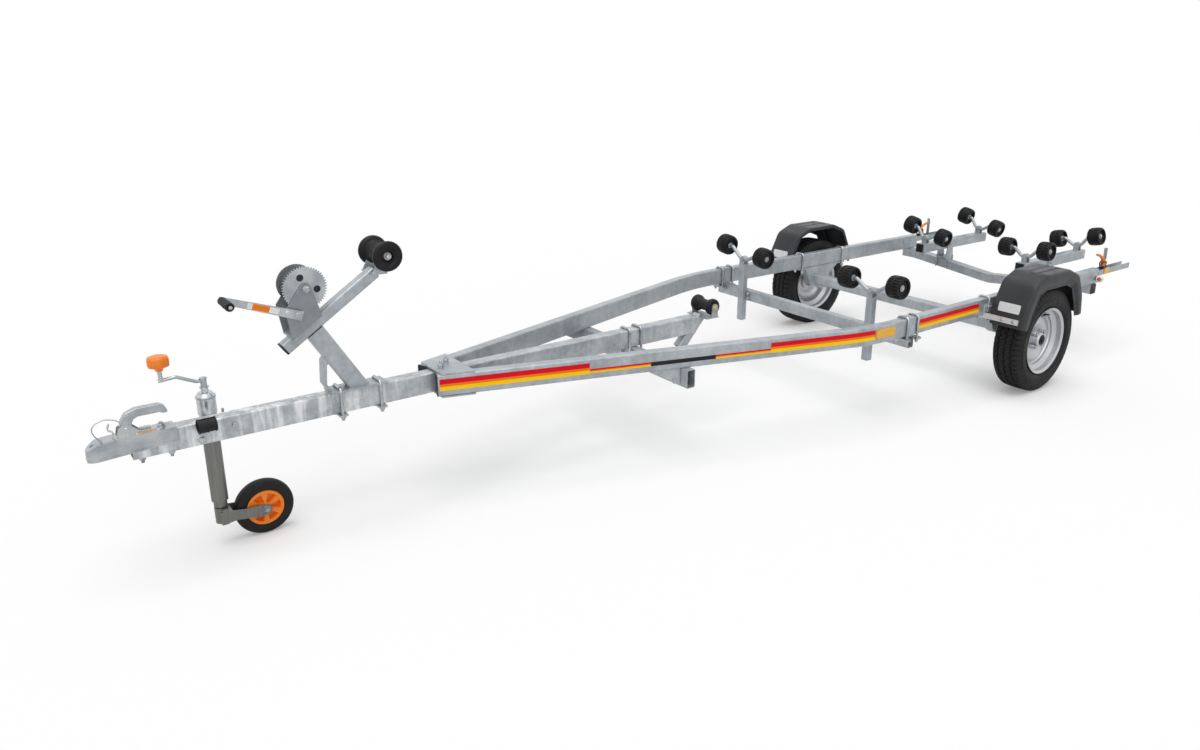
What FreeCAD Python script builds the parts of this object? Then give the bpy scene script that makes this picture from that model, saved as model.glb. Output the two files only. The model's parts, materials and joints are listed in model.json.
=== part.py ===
import FreeCAD, Part
import math
import os

# Boat trailer, galvanised steel, one axle, hull rollers. Millimetres.
# X runs forward to the coupling, Y to the trailer's left, Z up from the ground.
# Lengths along X are measured from the wheel axle, and export() moves the whole
# trailer so that its origin is the middle of its length, on the ground.

V = FreeCAD.Vector
UP = V(0, 0, 1)
FORWARD = V(1, 0, 0)
LEFT = V(0, 1, 0)

# overall
COUPLER_TIP_X = 4150.0
HOLDER_END_X = -1270.0
RUN_GAP = 0.3          # round a pin or shaft that something turns on
SIDE_GAP = 1.0         # beside a boss or roller on its pin
SEAT_GAP = 0.3         # between a clamp and what it holds

# tubes of the frame
FRAME_BOTTOM = 415.0   # the undersides of the side beams and of the drawbar
WALL = 3.0
CORNER = 6.0
BEAM_H = 85.0
BEAM_W = 45.0
BEAM_FRONT_X = 3016.0
BEAM_FRONT_Y = 83.0
BEND_X = 1154.0
BEAM_OUTER_Y = 650.0
BEND_R = 1100.0
BEAM_REAR_X = -890.0
DRAWBAR_W = 55.0
DRAWBAR_H = 80.0
DRAWBAR_FRONT_X = 4028.0
KEEL_REAR_X = 1680.0

# cross tubes
FRONT_CROSS_X = 2043.0
FRONT_CROSS_W = 44.0
FRONT_CROSS_H = 80.0
FRONT_CROSS_Y = 410.0
ROLLER_CROSS_X = 890.0
ROLLER_CROSS_W = 40.0
ROLLER_CROSS_H = 60.0
ROLLER_CROSS_Y = 652.0
REAR_CROSS_X = -845.0
REAR_CROSS_S = 58.0
REAR_CROSS_Y = 652.0
REAR_CROSS_FLAT_Y = 560.0
REAR_CROSS_DROP = 62.0
REAR_CROSS_R = 260.0

# plates where the side beams meet the drawbar
PLATE_T = 6.0
PLATE_REAR_X = 2880.0
PLATE_FRONT_X = 3002.0

# wheels and axle
WHEEL_Z = 273.0
TYRE_R = 273.0
TYRE_W = 157.0
WHEEL_Y = 776.0
BEAD_R = 164.0
FLANGE_R = 174.0
RIM_HALF = 70.0
RIM_T = 4.0
HUB_BORE_R = 15.0
AXLE_X = 115.0
AXLE_Z = 332.0
AXLE_S = 60.0
AXLE_END_Y = 656.0
ARM_T = 22.0

# fenders
FENDER_IN_Y = 684.0
FENDER_OUT_Y = 872.0
FENDER_TOP_Z = 640.0
FENDER_FOOT_Z = 383.0
FENDER_HALF = 290.0
FENDER_T = 3.0
FENDER_R = 16.0
FENDER_BEND = 60.0
FENDER_LIP = 80.0
FENDER_LEAN = 0.18      # of the front and rear faces, as the foot runs out
FENDER_BAR_Z = 402.0
FENDER_BAR_H = 26.0
FENDER_BAR_T = 5.0

# rollers under the hull
ROLLER_R = 55.0
ROLLER_W = 72.0
HUB_DEPTH = 15.0       # how far the hub lies in from the roller's end faces
ROD_R = 10.0
BOSS_R = 17.0
BOSS_L = 26.0
PIN_R = 6.0
EAR_T = 5.0
FRONT_SPREAD = 286.0
REAR_SPREAD = 240.0
ROD_RISE = 45.0
POST_S = 38.0
POST_Y = 437.0
POST_FOOT_Z = 247.0
FRONT_PIVOT_Z = 590.0
SWING_Y = 345.0
SWING_S = 58.0
SWING_TOP_Z = 520.0
SWING_FRONT_X = -556.0
SWING_REAR_X = -1268.0
SWING_FRONT_ROCKER_X = -610.0
SWING_REAR_ROCKER_X = -1215.0
REAR_PIVOT_Z = 553.0

# bow stop and winch
POST_W = 50.0
POST_D = 64.0
WINCH_BASE_REAR_X = 3190.0
WINCH_BASE_FRONT_X = 3398.0
ARM_S = 42.0
ARM_FRONT = V(3530, 0, 684)
ARM_REAR = V(3196, 0, 908)
BOW_X = 3168.0
BOW_Z = 970.0
BOW_W = 150.0
BOW_EAR_T = 5.0
BOW_MIDDLE = 42.0      # half the length of the roller between the ears
BOW_FLANGE_R = 54.0
BOW_WAIST_R = 31.0
DRUM_X = 3455.0
DRUM_Z = 893.0
TEETH_GEAR = 48
TEETH_PINION = 12
MODULE = 3.0
GEAR_T = 7.0
FRAME_HALF = 49.0      # inner faces of the winch's two side plates
FRAME_T = 4.0
CRANK_LENGTH = 246.0

# light board holders
HOLDER_T = 3.0
HOLDER_Z = 457.0
HOLDER_H = 32.0
HOLDER_PLATE_X = -1020.0
LEVER_X = -960.0

# coupler
COUPLER_HALF = 32.0
COUPLER_REAR_X = 3896.0
COUPLER_T = 4.0
BALL_R = 25.4

# jockey wheel
JOCKEY_X = 3782.0
JOCKEY_Y = -60.0
JOCKEY_R = 27.0
JOCKEY_BOTTOM_Z = 168.0
JOCKEY_TOP_Z = 560.0
JOCKEY_WHEEL_X = 3642.0
JOCKEY_WHEEL_R = 101.0
JOCKEY_WHEEL_W = 50.0
LEG_R = 22.0
FORK_TOP_Z = 142.0
FORK_FOOT_Z = 84.0
SPIGOT_R = 9.0
SPIGOT_RISE = 13.0


def box(x0, x1, y0, y1, z0, z1):
    """A block between two opposite corners."""
    return Part.makeBox(x1 - x0, y1 - y0, z1 - z0, V(x0, y0, z0))


def rod(start, end, radius):
    """A round bar from one point to another."""
    run = end - start
    return Part.makeCylinder(radius, run.Length, start, run)


def join(shapes):
    """One solid from shapes that touch or overlap."""
    whole = shapes[0].multiFuse(shapes[1:]) if len(shapes) > 1 else shapes[0]
    return whole.removeSplitter()


def polygon(points):
    """A flat face with straight edges."""
    return Part.Face(Part.makePolygon(points + [points[0]]))


def side_plate(outline, y0, y1):
    """A plate cut to an outline of (x, z) points, standing between two y planes."""
    face = polygon([V(x, y0, z) for x, z in outline])
    return face.extrude(V(0, y1 - y0, 0))


def flat_plate(outline, z0, z1):
    """A plate cut to an outline of (x, y) points, lying between two heights."""
    face = polygon([V(x, y, z0) for x, y in outline])
    return face.extrude(V(0, 0, z1 - z0))


def bent_path(points, radius):
    """Straight runs through the points, joined by tangent arcs of one radius."""
    edges = []
    start = points[0]
    for before, corner, after in zip(points, points[1:], points[2:]):
        back = (before - corner).normalize()
        ahead = (after - corner).normalize()
        half_turn = (math.pi - back.getAngle(ahead)) / 2
        cut = radius * math.tan(half_turn)
        inward = (back + ahead).normalize()
        centre = corner + inward * (radius / math.cos(half_turn))
        first = corner + back * cut
        last = corner + ahead * cut
        edges.append(Part.makeLine(start, first))
        edges.append(Part.Arc(first, centre - inward * radius, last).toShape())
        start = last
    edges.append(Part.makeLine(start, points[-1]))
    return Part.Wire(edges)


def rounded_wire(centre, along, up, width, height, corner):
    """A rectangle with round corners, square to the direction of travel."""
    side = up.cross(along).normalize()
    over = along.cross(side).normalize()
    w = width / 2
    h = height / 2
    c = corner
    turn = c * (1 - math.sqrt(0.5))

    def at(a, b):
        return centre + side * a + over * b

    edges = [
        Part.makeLine(at(-w + c, -h), at(w - c, -h)),
        Part.Arc(at(w - c, -h), at(w - turn, -h + turn), at(w, -h + c)).toShape(),
        Part.makeLine(at(w, -h + c), at(w, h - c)),
        Part.Arc(at(w, h - c), at(w - turn, h - turn), at(w - c, h)).toShape(),
        Part.makeLine(at(w - c, h), at(-w + c, h)),
        Part.Arc(at(-w + c, h), at(-w + turn, h - turn), at(-w, h - c)).toShape(),
        Part.makeLine(at(-w, h - c), at(-w, -h + c)),
        Part.Arc(at(-w, -h + c), at(-w + turn, -h + turn), at(-w + c, -h)).toShape(),
    ]
    return Part.Wire(edges)


def carried(points, radius, width, height, corner, up):
    """A solid rounded bar carried along a bent path."""
    along = (points[1] - points[0]).normalize()
    profile = rounded_wire(points[0], along, up, width, height, corner)
    if len(points) == 2:
        return Part.Face(profile).extrude(points[1] - points[0])
    return bent_path(points, radius).makePipeShell([profile], True, False)


def tube(points, width, height, radius=0.0, wall=WALL, corner=CORNER, up=UP):
    """A rectangular tube with open ends along a straight or bent path."""
    outer = carried(points, radius, width, height, corner, up)
    first = (points[0] - points[1]).normalize()
    last = (points[-1] - points[-2]).normalize()
    longer = [points[0] + first] + points[1:-1] + [points[-1] + last]
    inner = carried(longer, radius, width - 2 * wall, height - 2 * wall, corner - wall, up)
    return outer.cut(inner)


def bent_rod(points, radius, bar_r):
    """A round bar bent along a path."""
    along = (points[1] - points[0]).normalize()
    profile = Part.Wire(Part.makeCircle(bar_r, points[0], along))
    return bent_path(points, radius).makePipeShell([profile], True, False)


def turned(profile, centre, axis):
    """A solid of revolution from (radius, place along the axis) points."""
    points = [V(r, 0, a) for r, a in profile]
    face = polygon(points)
    solid = face.revolve(V(0, 0, 0), UP, 360)
    solid.Placement = FreeCAD.Placement(centre, FreeCAD.Rotation(UP, axis))
    return solid


def mirrored(shape):
    """The same piece on the trailer's other side."""
    return shape.mirror(V(0, 0, 0), LEFT)


NODES = {}


def keep(name, shapes):
    """Collects the solids of one named piece."""
    NODES[name] = shapes if isinstance(shapes, list) else [shapes]


# Frame

def beam_angle():
    """How far a side beam turns in from the straight part, in radians."""
    return math.atan2(BEAM_OUTER_Y - BEAM_FRONT_Y, BEAM_FRONT_X - BEND_X)


def beam_outer_y(x):
    """Where a side beam's outer face is, at a place along the trailer."""
    if x <= BEND_X:
        return BEAM_OUTER_Y
    return BEAM_OUTER_Y - (x - BEND_X) * math.tan(beam_angle())


def beam_line(inset):
    """The beam's line at a distance in from its outer face."""
    turn = beam_angle()
    inward = V(-math.sin(turn), -math.cos(turn), 0)
    z = FRAME_BOTTOM + BEAM_H / 2
    rear = V(BEAM_REAR_X, BEAM_OUTER_Y - inset, z)
    bend = V(BEND_X - inset * math.tan(turn / 2), BEAM_OUTER_Y - inset, z)
    front = V(BEAM_FRONT_X, BEAM_FRONT_Y, z) + inward * inset
    return [rear, bend, front]


def side_beam():
    """The left side beam, straight at the rear and bent in to the drawbar."""
    return tube(beam_line(BEAM_W / 2), BEAM_W, BEAM_H, BEND_R)


def beam_plug(front):
    """The plastic plug that closes one end of the left side beam."""
    rear, bend, tip = beam_line(BEAM_W / 2)
    end, other = (tip, bend) if front else (rear, bend)
    out = (end - other).normalize()
    head = carried([end, end + out * 3], 0, BEAM_W, BEAM_H, CORNER, UP)
    inside_w = BEAM_W - 2 * WALL
    inside_h = BEAM_H - 2 * WALL
    core = carried([end - out * 18, end + out], 0, inside_w, inside_h, CORNER - WALL, UP)
    return join([head, core])


def drawbar():
    """The middle tube, from under the coupler back to the keel roller."""
    z = FRAME_BOTTOM + DRAWBAR_H / 2
    return tube([V(KEEL_REAR_X, 0, z), V(DRAWBAR_FRONT_X, 0, z)], DRAWBAR_W, DRAWBAR_H)


def meeting_plates():
    """The two plates that clamp the side beams to the drawbar."""
    rear_y = beam_outer_y(PLATE_REAR_X)
    front_y = beam_outer_y(PLATE_FRONT_X)
    outline = [
        (PLATE_REAR_X, -rear_y),
        (PLATE_FRONT_X, -front_y),
        (PLATE_FRONT_X, front_y),
        (PLATE_REAR_X, rear_y),
    ]
    top = FRAME_BOTTOM + BEAM_H
    upper = flat_plate(outline, top, top + PLATE_T)
    lower = flat_plate(outline, FRAME_BOTTOM - PLATE_T, FRAME_BOTTOM)
    return [upper, lower]


def front_cross():
    """The tall cross tube under the middle of the converging beams."""
    z = FRAME_BOTTOM - FRONT_CROSS_H / 2
    ends = [V(FRONT_CROSS_X, -FRONT_CROSS_Y, z), V(FRONT_CROSS_X, FRONT_CROSS_Y, z)]
    return tube(ends, FRONT_CROSS_W, FRONT_CROSS_H)


def roller_cross():
    """The cross tube that carries the two front roller posts."""
    z = FRAME_BOTTOM - ROLLER_CROSS_H / 2
    ends = [V(ROLLER_CROSS_X, -ROLLER_CROSS_Y, z), V(ROLLER_CROSS_X, ROLLER_CROSS_Y, z)]
    return tube(ends, ROLLER_CROSS_W, ROLLER_CROSS_H)


def rear_cross_points():
    """The middle line of the rear cross tube, which drops to the middle for the keel."""
    z = FRAME_BOTTOM - REAR_CROSS_S / 2
    return [
        V(REAR_CROSS_X, -REAR_CROSS_Y, z),
        V(REAR_CROSS_X, -REAR_CROSS_FLAT_Y, z),
        V(REAR_CROSS_X, 0, z - REAR_CROSS_DROP),
        V(REAR_CROSS_X, REAR_CROSS_FLAT_Y, z),
        V(REAR_CROSS_X, REAR_CROSS_Y, z),
    ]


def rear_cross():
    """The vee-shaped cross tube at the rear."""
    return tube(rear_cross_points(), REAR_CROSS_S, REAR_CROSS_S, REAR_CROSS_R)


def rear_cross_top(y):
    """The height of the rear cross tube's top beside the middle."""
    share = min(abs(y), REAR_CROSS_FLAT_Y) / REAR_CROSS_FLAT_Y
    return FRAME_BOTTOM - REAR_CROSS_DROP * (1 - share)


def cross_plugs():
    """The plugs in the rear cross tube's ends."""
    end = rear_cross_points()[-1]
    head = carried([end, end + LEFT * 3], 0, REAR_CROSS_S, REAR_CROSS_S, CORNER, UP)
    inside = REAR_CROSS_S - 2 * WALL
    core = carried([end - LEFT * 18, end + LEFT], 0, inside, inside, CORNER - WALL, UP)
    plug = join([head, core])
    return [plug, mirrored(plug)]


def frame():
    """All the tubes of the frame and the plates between them."""
    beam = side_beam()
    keep("main_beam_left", beam)
    keep("main_beam_right", mirrored(beam))
    keep("drawbar", drawbar())
    plugs = [beam_plug(True), beam_plug(False)]
    keep("end_plugs", plugs + [mirrored(plug) for plug in plugs] + cross_plugs())
    keep("meeting_plates", meeting_plates())
    keep("front_crossmember", front_cross())
    keep("roller_crossmember", roller_cross())
    keep("rear_crossmember", rear_cross())


# Coupler

def coupler_outline(grow):
    """The coupler from above: straight sides that end in a round nose, wider by grow."""
    half = COUPLER_HALF + grow
    centre = V(COUPLER_TIP_X - COUPLER_HALF, 0, 0)
    rear = V(COUPLER_REAR_X, 0, 0)
    edges = [
        Part.makeLine(rear - LEFT * half, centre - LEFT * half),
        Part.Arc(centre - LEFT * half, centre + FORWARD * half, centre + LEFT * half).toShape(),
        Part.makeLine(centre + LEFT * half, rear + LEFT * half),
        Part.makeLine(rear + LEFT * half, rear - LEFT * half),
    ]
    return Part.Face(Part.Wire(edges)).extrude(UP * 700)


def coupler():
    """The pressed ball coupler over the drawbar's front end."""
    top = FRAME_BOTTOM + DRAWBAR_H
    ball = V(COUPLER_TIP_X - COUPLER_HALF, 0, top - 44)
    rear = COUPLER_REAR_X
    tip = COUPLER_TIP_X
    foot_rear = top - 44
    foot_front = top - 58
    t = COUPLER_T
    side = side_plate([(rear, foot_rear), (tip, foot_front), (tip, top - 24), (ball.x, top - 4),
                       (DRAWBAR_FRONT_X + 10, top + t), (rear, top + t)], -60, 60)
    body = coupler_outline(0).common(side)
    rim = side_plate([(rear, foot_rear), (tip, foot_front), (tip, foot_front + t), (rear, foot_rear + t)], -60, 60)
    rim = coupler_outline(5).common(rim)
    inner = DRAWBAR_W / 2 + SEAT_GAP
    hollow = box(rear - 1, DRAWBAR_FRONT_X + SEAT_GAP, -inner, inner, FRAME_BOTTOM, top + SEAT_GAP)
    cup = join([
        Part.makeCylinder(BALL_R, 26, V(ball.x, 0, ball.z - 15)),
        Part.makeSphere(BALL_R, ball + UP * 11),
    ])
    return join([body, rim]).cut(hollow).cut(cup)


def coupler_lever():
    """The coupler's channel-shaped lifting handle."""
    top = FRAME_BOTTOM + DRAWBAR_H
    front = DRAWBAR_FRONT_X + 14
    outline = [
        (front + 2, top + 6),
        (front + 8, top + 46),
        (front - 12, top + 78),
        (front - 30, top + 84),
        (front - 122, top + 50),
        (front - 130, top + 22),
        (front - 100, top + 34),
        (front - 44, top + 48),
        (front - 26, top + 4 + SEAT_GAP),
    ]
    return side_plate(outline, -13, 13)


def plug_holder():
    """The split ring on the drawbar's side that parks the lamp plug."""
    centre = V(3812, DRAWBAR_W / 2 + 26, FRAME_BOTTOM + DRAWBAR_H - 4)
    half = FORWARD * 27
    ring = rod(centre - half, centre + half, 23).cut(rod(centre - half * 1.1, centre + half * 1.1, 18))
    split = box(centre.x - 30, centre.x + 30, centre.y - 5, centre.y + 5, centre.z, centre.z + 30)
    foot = box(centre.x - 20, centre.x + 20, DRAWBAR_W / 2, centre.y - 20, centre.z - 22, centre.z - 2)
    return join([ring.cut(split), foot])


# Wheels, axle and fenders

def tyre():
    """The left tyre, open in the middle for its rim."""
    half = TYRE_W / 2
    profile = [
        (BEAD_R + 2, -half + 19), (FLANGE_R + 4, -half + 17), (BEAD_R + 28, -half + 4), (BEAD_R + 58, -half),
        (TYRE_R - 28, -half + 6), (TYRE_R - 9, -half + 17), (TYRE_R - 2, -half + 30),
        (TYRE_R, 0), (TYRE_R - 2, half - 30), (TYRE_R - 9, half - 17),
        (TYRE_R - 28, half - 6), (BEAD_R + 58, half), (BEAD_R + 28, half - 4),
        (FLANGE_R + 4, half - 17), (BEAD_R + 2, half - 19), (BEAD_R + 2, half - 34),
        (BEAD_R + 40, half - 14), (TYRE_R - 22, half - 24), (TYRE_R - 12, 0),
        (TYRE_R - 22, -half + 24), (BEAD_R + 40, -half + 14), (BEAD_R + 2, -half + 34),
    ]
    return turned(profile, V(0, WHEEL_Y, WHEEL_Z), LEFT)


def rim():
    """The left steel rim with its dished disc, hub and dust cap."""
    t = RIM_T
    out = RIM_HALF
    barrel = [
        (FLANGE_R, out), (FLANGE_R, out - t), (BEAD_R + 1.4, out - 9), (BEAD_R + 1.4, out - 30),
        (BEAD_R - 22, out - 44), (BEAD_R - 22, -out + 44), (BEAD_R + 1.4, -out + 30),
        (BEAD_R + 1.4, -out + 9), (FLANGE_R, -out + t), (FLANGE_R, -out),
        (BEAD_R - 3, -out + 7), (BEAD_R - 3, -out + 32), (BEAD_R - 22 - t, -out + 46),
        (BEAD_R - 22 - t, out - 46), (BEAD_R - 3, out - 32), (BEAD_R - 3, out - 7),
    ]
    disc = [(BEAD_R - 25.5, 16), (128, 4), (118, 16), (106, 20), (84, 22), (62, 14), (30, 14),
            (30, 8), (64, 8), (86, 16), (104, 14), (114, 8), (124, -4), (BEAD_R - 25.5, 6)]
    hub = [
        (HUB_BORE_R + RUN_GAP, -44), (36, -44), (38, -10), (58, -6), (58, 8), (40, 8), (37, 40),
        (26, 48), (0, 48), (0, 44), (HUB_BORE_R + RUN_GAP, 40),
    ]
    centre = V(0, WHEEL_Y, WHEEL_Z)
    pieces = [turned(profile, centre, LEFT) for profile in (barrel, disc, hub)]
    bolts = []
    for step in range(4):
        turn = math.radians(45 + 90 * step)
        place = centre + V(49 * math.cos(turn), 13, 49 * math.sin(turn))
        bolts.append(Part.makeCylinder(9, 16, place, LEFT))
    return join(pieces + bolts)


def axle():
    """The axle beam and the long saddles that clamp it under the side beams."""
    ends = [V(AXLE_X, -AXLE_END_Y, AXLE_Z), V(AXLE_X, AXLE_END_Y, AXLE_Z)]
    beam = tube(ends, AXLE_S, AXLE_S, corner=12, wall=5)
    saddle_y = BEAM_OUTER_Y - BEAM_W / 2
    top = FRAME_BOTTOM
    pieces = [beam]
    for side in (-1, 1):
        y = saddle_y * side
        plate = box(-135, 285, y - BEAM_W / 2, y + BEAM_W / 2, top - 8, top)
        web = side_plate(
            [(-70, top - 8), (225, top - 8), (AXLE_X + 60, AXLE_Z - 20),
             (AXLE_X + 30, AXLE_Z - 36), (AXLE_X - 30, AXLE_Z - 36), (AXLE_X - 60, AXLE_Z - 20)],
            y - 22, y + 22)
        hole = box(AXLE_X - AXLE_S / 2 + 2, AXLE_X + AXLE_S / 2 - 2, y - 40, y + 40,
                   AXLE_Z - AXLE_S / 2 + 2, AXLE_Z + AXLE_S / 2 - 2)
        inside = side_plate(
            [(-58, top - 12), (213, top - 12), (AXLE_X + 54, AXLE_Z - 16), (AXLE_X - 54, AXLE_Z - 16)],
            y - 17, y + 17)
        pieces += [plate, web.cut(hole).cut(inside.cut(box(
            AXLE_X - AXLE_S / 2 - 1, AXLE_X + AXLE_S / 2 + 1, y - 40, y + 40, 0, top)))]
    return join(pieces)


def axle_arm():
    """The left trailing arm with its stub axle."""
    inner_y = AXLE_END_Y + SEAT_GAP
    reach = [
        (AXLE_X + 34, AXLE_Z + 10), (AXLE_X + 14, AXLE_Z + 32), (AXLE_X - 14, AXLE_Z + 30),
        (-26, WHEEL_Z + 22), (-34, WHEEL_Z), (-22, WHEEL_Z - 26), (8, WHEEL_Z - 32),
        (AXLE_X + 26, AXLE_Z - 26),
    ]
    arm = side_plate(reach, inner_y, inner_y + ARM_T)
    stub = rod(V(0, inner_y + 1, WHEEL_Z), V(0, WHEEL_Y + 38, WHEEL_Z), HUB_BORE_R)
    collar = rod(V(0, inner_y + 1, WHEEL_Z), V(0, WHEEL_Y - 46, WHEEL_Z), 24)
    spindle = rod(V(AXLE_X, inner_y - 40, AXLE_Z), V(AXLE_X, inner_y + 4, AXLE_Z), 20)
    return join([arm, stub, collar, spindle])


def fender_outline(inset, foot):
    """The fender's side view, a flat-topped arch drawn in by an inset."""
    half = FENDER_HALF - inset
    shoulder = half - 18
    top = FENDER_TOP_Z - inset
    corner = 212 - inset * 0.7
    return [
        (half, foot), (shoulder, FENDER_FOOT_Z + 100 - inset * 0.2), (corner, top - 40),
        (110 - inset * 0.3, top), (-110 + inset * 0.3, top), (-corner, top - 40),
        (-shoulder, FENDER_FOOT_Z + 100 - inset * 0.2), (-half, foot),
    ]


def fender():
    """The left fender, a moulded arch with a side lip."""
    body = side_plate(fender_outline(0, FENDER_FOOT_Z), FENDER_IN_Y, FENDER_OUT_Y)
    body = body.makeFillet(FENDER_BEND, cross_edges(body, FENDER_FOOT_Z))
    body = body.makeFillet(FENDER_R, outer_arch(body, FENDER_OUT_Y, FENDER_FOOT_Z))
    foot = FENDER_FOOT_Z - 1
    inside = side_plate(fender_outline(FENDER_T, foot), FENDER_IN_Y + FENDER_T, FENDER_OUT_Y - FENDER_T)
    inside = inside.makeFillet(FENDER_BEND - FENDER_T, cross_edges(inside, foot))
    inside = inside.makeFillet(FENDER_R - FENDER_T, outer_arch(inside, FENDER_OUT_Y - FENDER_T, foot))
    window = side_plate(fender_outline(FENDER_LIP, FENDER_FOOT_Z - 1),
                        FENDER_IN_Y - 1, FENDER_OUT_Y + 1)
    inner_window = side_plate(fender_outline(22, FENDER_FOOT_Z - 1), FENDER_IN_Y - 1, FENDER_IN_Y + 20)
    return body.cut(inside).cut(window).cut(inner_window)


def cross_edges(solid, foot):
    """The edges that run across the fender, without those of its feet."""
    chosen = []
    for edge in solid.Edges:
        first, last = edge.Vertexes[0].Point, edge.Vertexes[-1].Point
        if abs(first.x - last.x) < 0.1 and abs(first.z - last.z) < 0.1 and first.z > foot + 1:
            chosen.append(edge)
    return chosen


def outer_arch(solid, y, foot):
    """The edges that follow the fender's arch on one side face."""
    chosen = []
    for edge in solid.Edges:
        places = [vertex.Point for vertex in edge.Vertexes]
        on_side = all(abs(p.y - y) < 0.1 for p in places)
        on_foot = all(abs(p.z - foot) < 0.1 for p in places)
        if on_side and not on_foot:
            chosen.append(edge)
    return chosen


def fender_face_x(z):
    """How far forward the fender's front face is, near its foot."""
    return FENDER_HALF - FENDER_LEAN * (z - FENDER_FOOT_Z)


def fender_bars():
    """The two flat bars that hold the left fender off the side beam."""
    low = FENDER_BAR_Z
    high = FENDER_BAR_Z + FENDER_BAR_H
    t = FENDER_BAR_T
    near = SEAT_GAP
    bars = []
    for side in (-1, 1):
        outline = [
            (side * (fender_face_x(low) + near), low), (side * (fender_face_x(high) + near), high),
            (side * (fender_face_x(high) + near + t), high), (side * (fender_face_x(low) + near + t), low),
        ]
        bar = side_plate(outline, BEAM_OUTER_Y, FENDER_OUT_Y - 34)
        front = fender_face_x(low) + near + t
        rear = front - 62
        first, last = sorted((side * front, side * rear))
        foot = box(first, last, BEAM_OUTER_Y, BEAM_OUTER_Y + t, low, FRAME_BOTTOM + 55)
        bars.append(join([bar, foot]))
    return bars


def running_gear():
    """Wheels, axle, trailing arms and fenders."""
    for name, piece in (("tyre", tyre()), ("wheel", rim()), ("fender", fender())):
        keep(name + "_left", piece)
        keep(name + "_right", mirrored(piece))
    keep("axle", axle())
    arm = axle_arm()
    keep("axle_arms", [arm, mirrored(arm)])
    bars = fender_bars()
    keep("fender_bars", bars + [mirrored(bar) for bar in bars])


# Rollers

def barrel_roller(centre, axis):
    """A fat rubber roller, hollow at both ends round its hub."""
    r = ROLLER_R
    w = ROLLER_W / 2
    bore = ROD_R + RUN_GAP
    hub = w - HUB_DEPTH
    profile = [
        (bore, -hub), (r - 17, -hub), (r - 14, -w), (r - 8, -w), (r - 2, -w + 8), (r, -w + 18),
        (r, w - 18), (r - 2, w - 8), (r - 8, w), (r - 14, w), (r - 17, hub), (bore, hub),
    ]
    return turned(profile, centre, axis)


def spool(centre, half, flange_r, waist_r, bore):
    """A spool-shaped roller lying across the trailer."""
    profile = [
        (bore, -half), (flange_r - 8, -half), (flange_r, -half + 6), (flange_r, -half + 16),
        (waist_r + 7, -half + 30), (waist_r, -half + 46), (waist_r, half - 46),
        (waist_r + 7, half - 30), (flange_r, half - 16), (flange_r, half - 6),
        (flange_r - 8, half), (bore, half),
    ]
    return turned(profile, centre, LEFT)


def rocker(pivot, spread, tilt):
    """A bent rod that rocks on its pin, and the two rollers on its ends."""
    reach = spread / 2
    shoulder = reach - ROLLER_W / 2 - 12
    end = reach + ROLLER_W / 2 - HUB_DEPTH + SIDE_GAP
    rise = V(0, 0, ROD_RISE)
    points = [
        pivot + V(0, -end, 0) + rise, pivot + V(0, -shoulder, 0) + rise,
        pivot + V(0, -26, 0), pivot + V(0, 26, 0),
        pivot + V(0, shoulder, 0) + rise, pivot + V(0, end, 0) + rise,
    ]
    bar = bent_rod(points, 22, ROD_R)
    boss = rod(pivot - FORWARD * (BOSS_L / 2), pivot + FORWARD * (BOSS_L / 2), BOSS_R)
    hole = rod(pivot - FORWARD * 30, pivot + FORWARD * 30, PIN_R + RUN_GAP)
    washers = []
    for side in (-1, 1):
        face = pivot + rise + V(0, side * end, 0)
        washers.append(rod(face, face + V(0, side * 4, 0), 15))
        collar = pivot + rise + V(0, side * (reach - ROLLER_W / 2 + HUB_DEPTH - SIDE_GAP), 0)
        washers.append(rod(collar - V(0, side * 5, 0), collar, 15))
    whole = join([bar, boss] + washers).cut(hole)
    rollers = [barrel_roller(pivot + rise + V(0, side * reach, 0), LEFT) for side in (-1, 1)]
    for piece in [whole] + rollers:
        piece.rotate(pivot, FORWARD, tilt)
    return whole, rollers


def clevis(pivot, foot_z):
    """Two ears and a pin that carry a rocker above a tube."""
    pieces = []
    for side in (-1, 1):
        near = pivot.x + side * (BOSS_L / 2 + SIDE_GAP)
        low, high = sorted((near, near + side * EAR_T))
        ear = box(low, high, pivot.y - 15, pivot.y + 15, foot_z, pivot.z)
        crown = Part.makeCylinder(15, EAR_T, V(low, pivot.y, pivot.z), FORWARD)
        pieces += [ear, crown]
    span = BOSS_L / 2 + SIDE_GAP + EAR_T
    pieces.append(rod(pivot - FORWARD * (span + 6), pivot + FORWARD * (span + 6), PIN_R))
    pieces.append(rod(pivot + FORWARD * span, pivot + FORWARD * (span + 6), 10))
    pieces.append(rod(pivot - FORWARD * span, pivot - FORWARD * (span + 6), 10))
    return pieces


def roller_post(y):
    """One front roller post with its clamp plate and clevis head."""
    x = ROLLER_CROSS_X + ROLLER_CROSS_W / 2 + POST_S / 2
    pivot = V(x, y, FRONT_PIVOT_Z)
    head_z = FRONT_PIVOT_Z - 30
    post = tube([V(x, y, POST_FOOT_Z), V(x, y, head_z)], POST_S, POST_S, up=FORWARD)
    cap = box(x - POST_S / 2, x + POST_S / 2, y - POST_S / 2, y + POST_S / 2, head_z, head_z + 5)
    return join([post, cap] + clevis(pivot, head_z + 2)), pivot


def swing_beam():
    """The left swing beam with the clevises of its two rockers."""
    z = SWING_TOP_Z - SWING_S / 2
    beam = tube([V(SWING_REAR_X, SWING_Y, z), V(SWING_FRONT_X, SWING_Y, z)], SWING_S, SWING_S)
    pieces = [beam]
    for x in (SWING_FRONT_ROCKER_X, SWING_REAR_ROCKER_X):
        pieces += clevis(V(x, SWING_Y, REAR_PIVOT_Z), SWING_TOP_Z - 1)
    body = join(pieces)
    hole = rod(V(REAR_CROSS_X, SWING_Y - 60, z), V(REAR_CROSS_X, SWING_Y + 60, z), 8 + RUN_GAP)
    return body.cut(hole)


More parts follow.
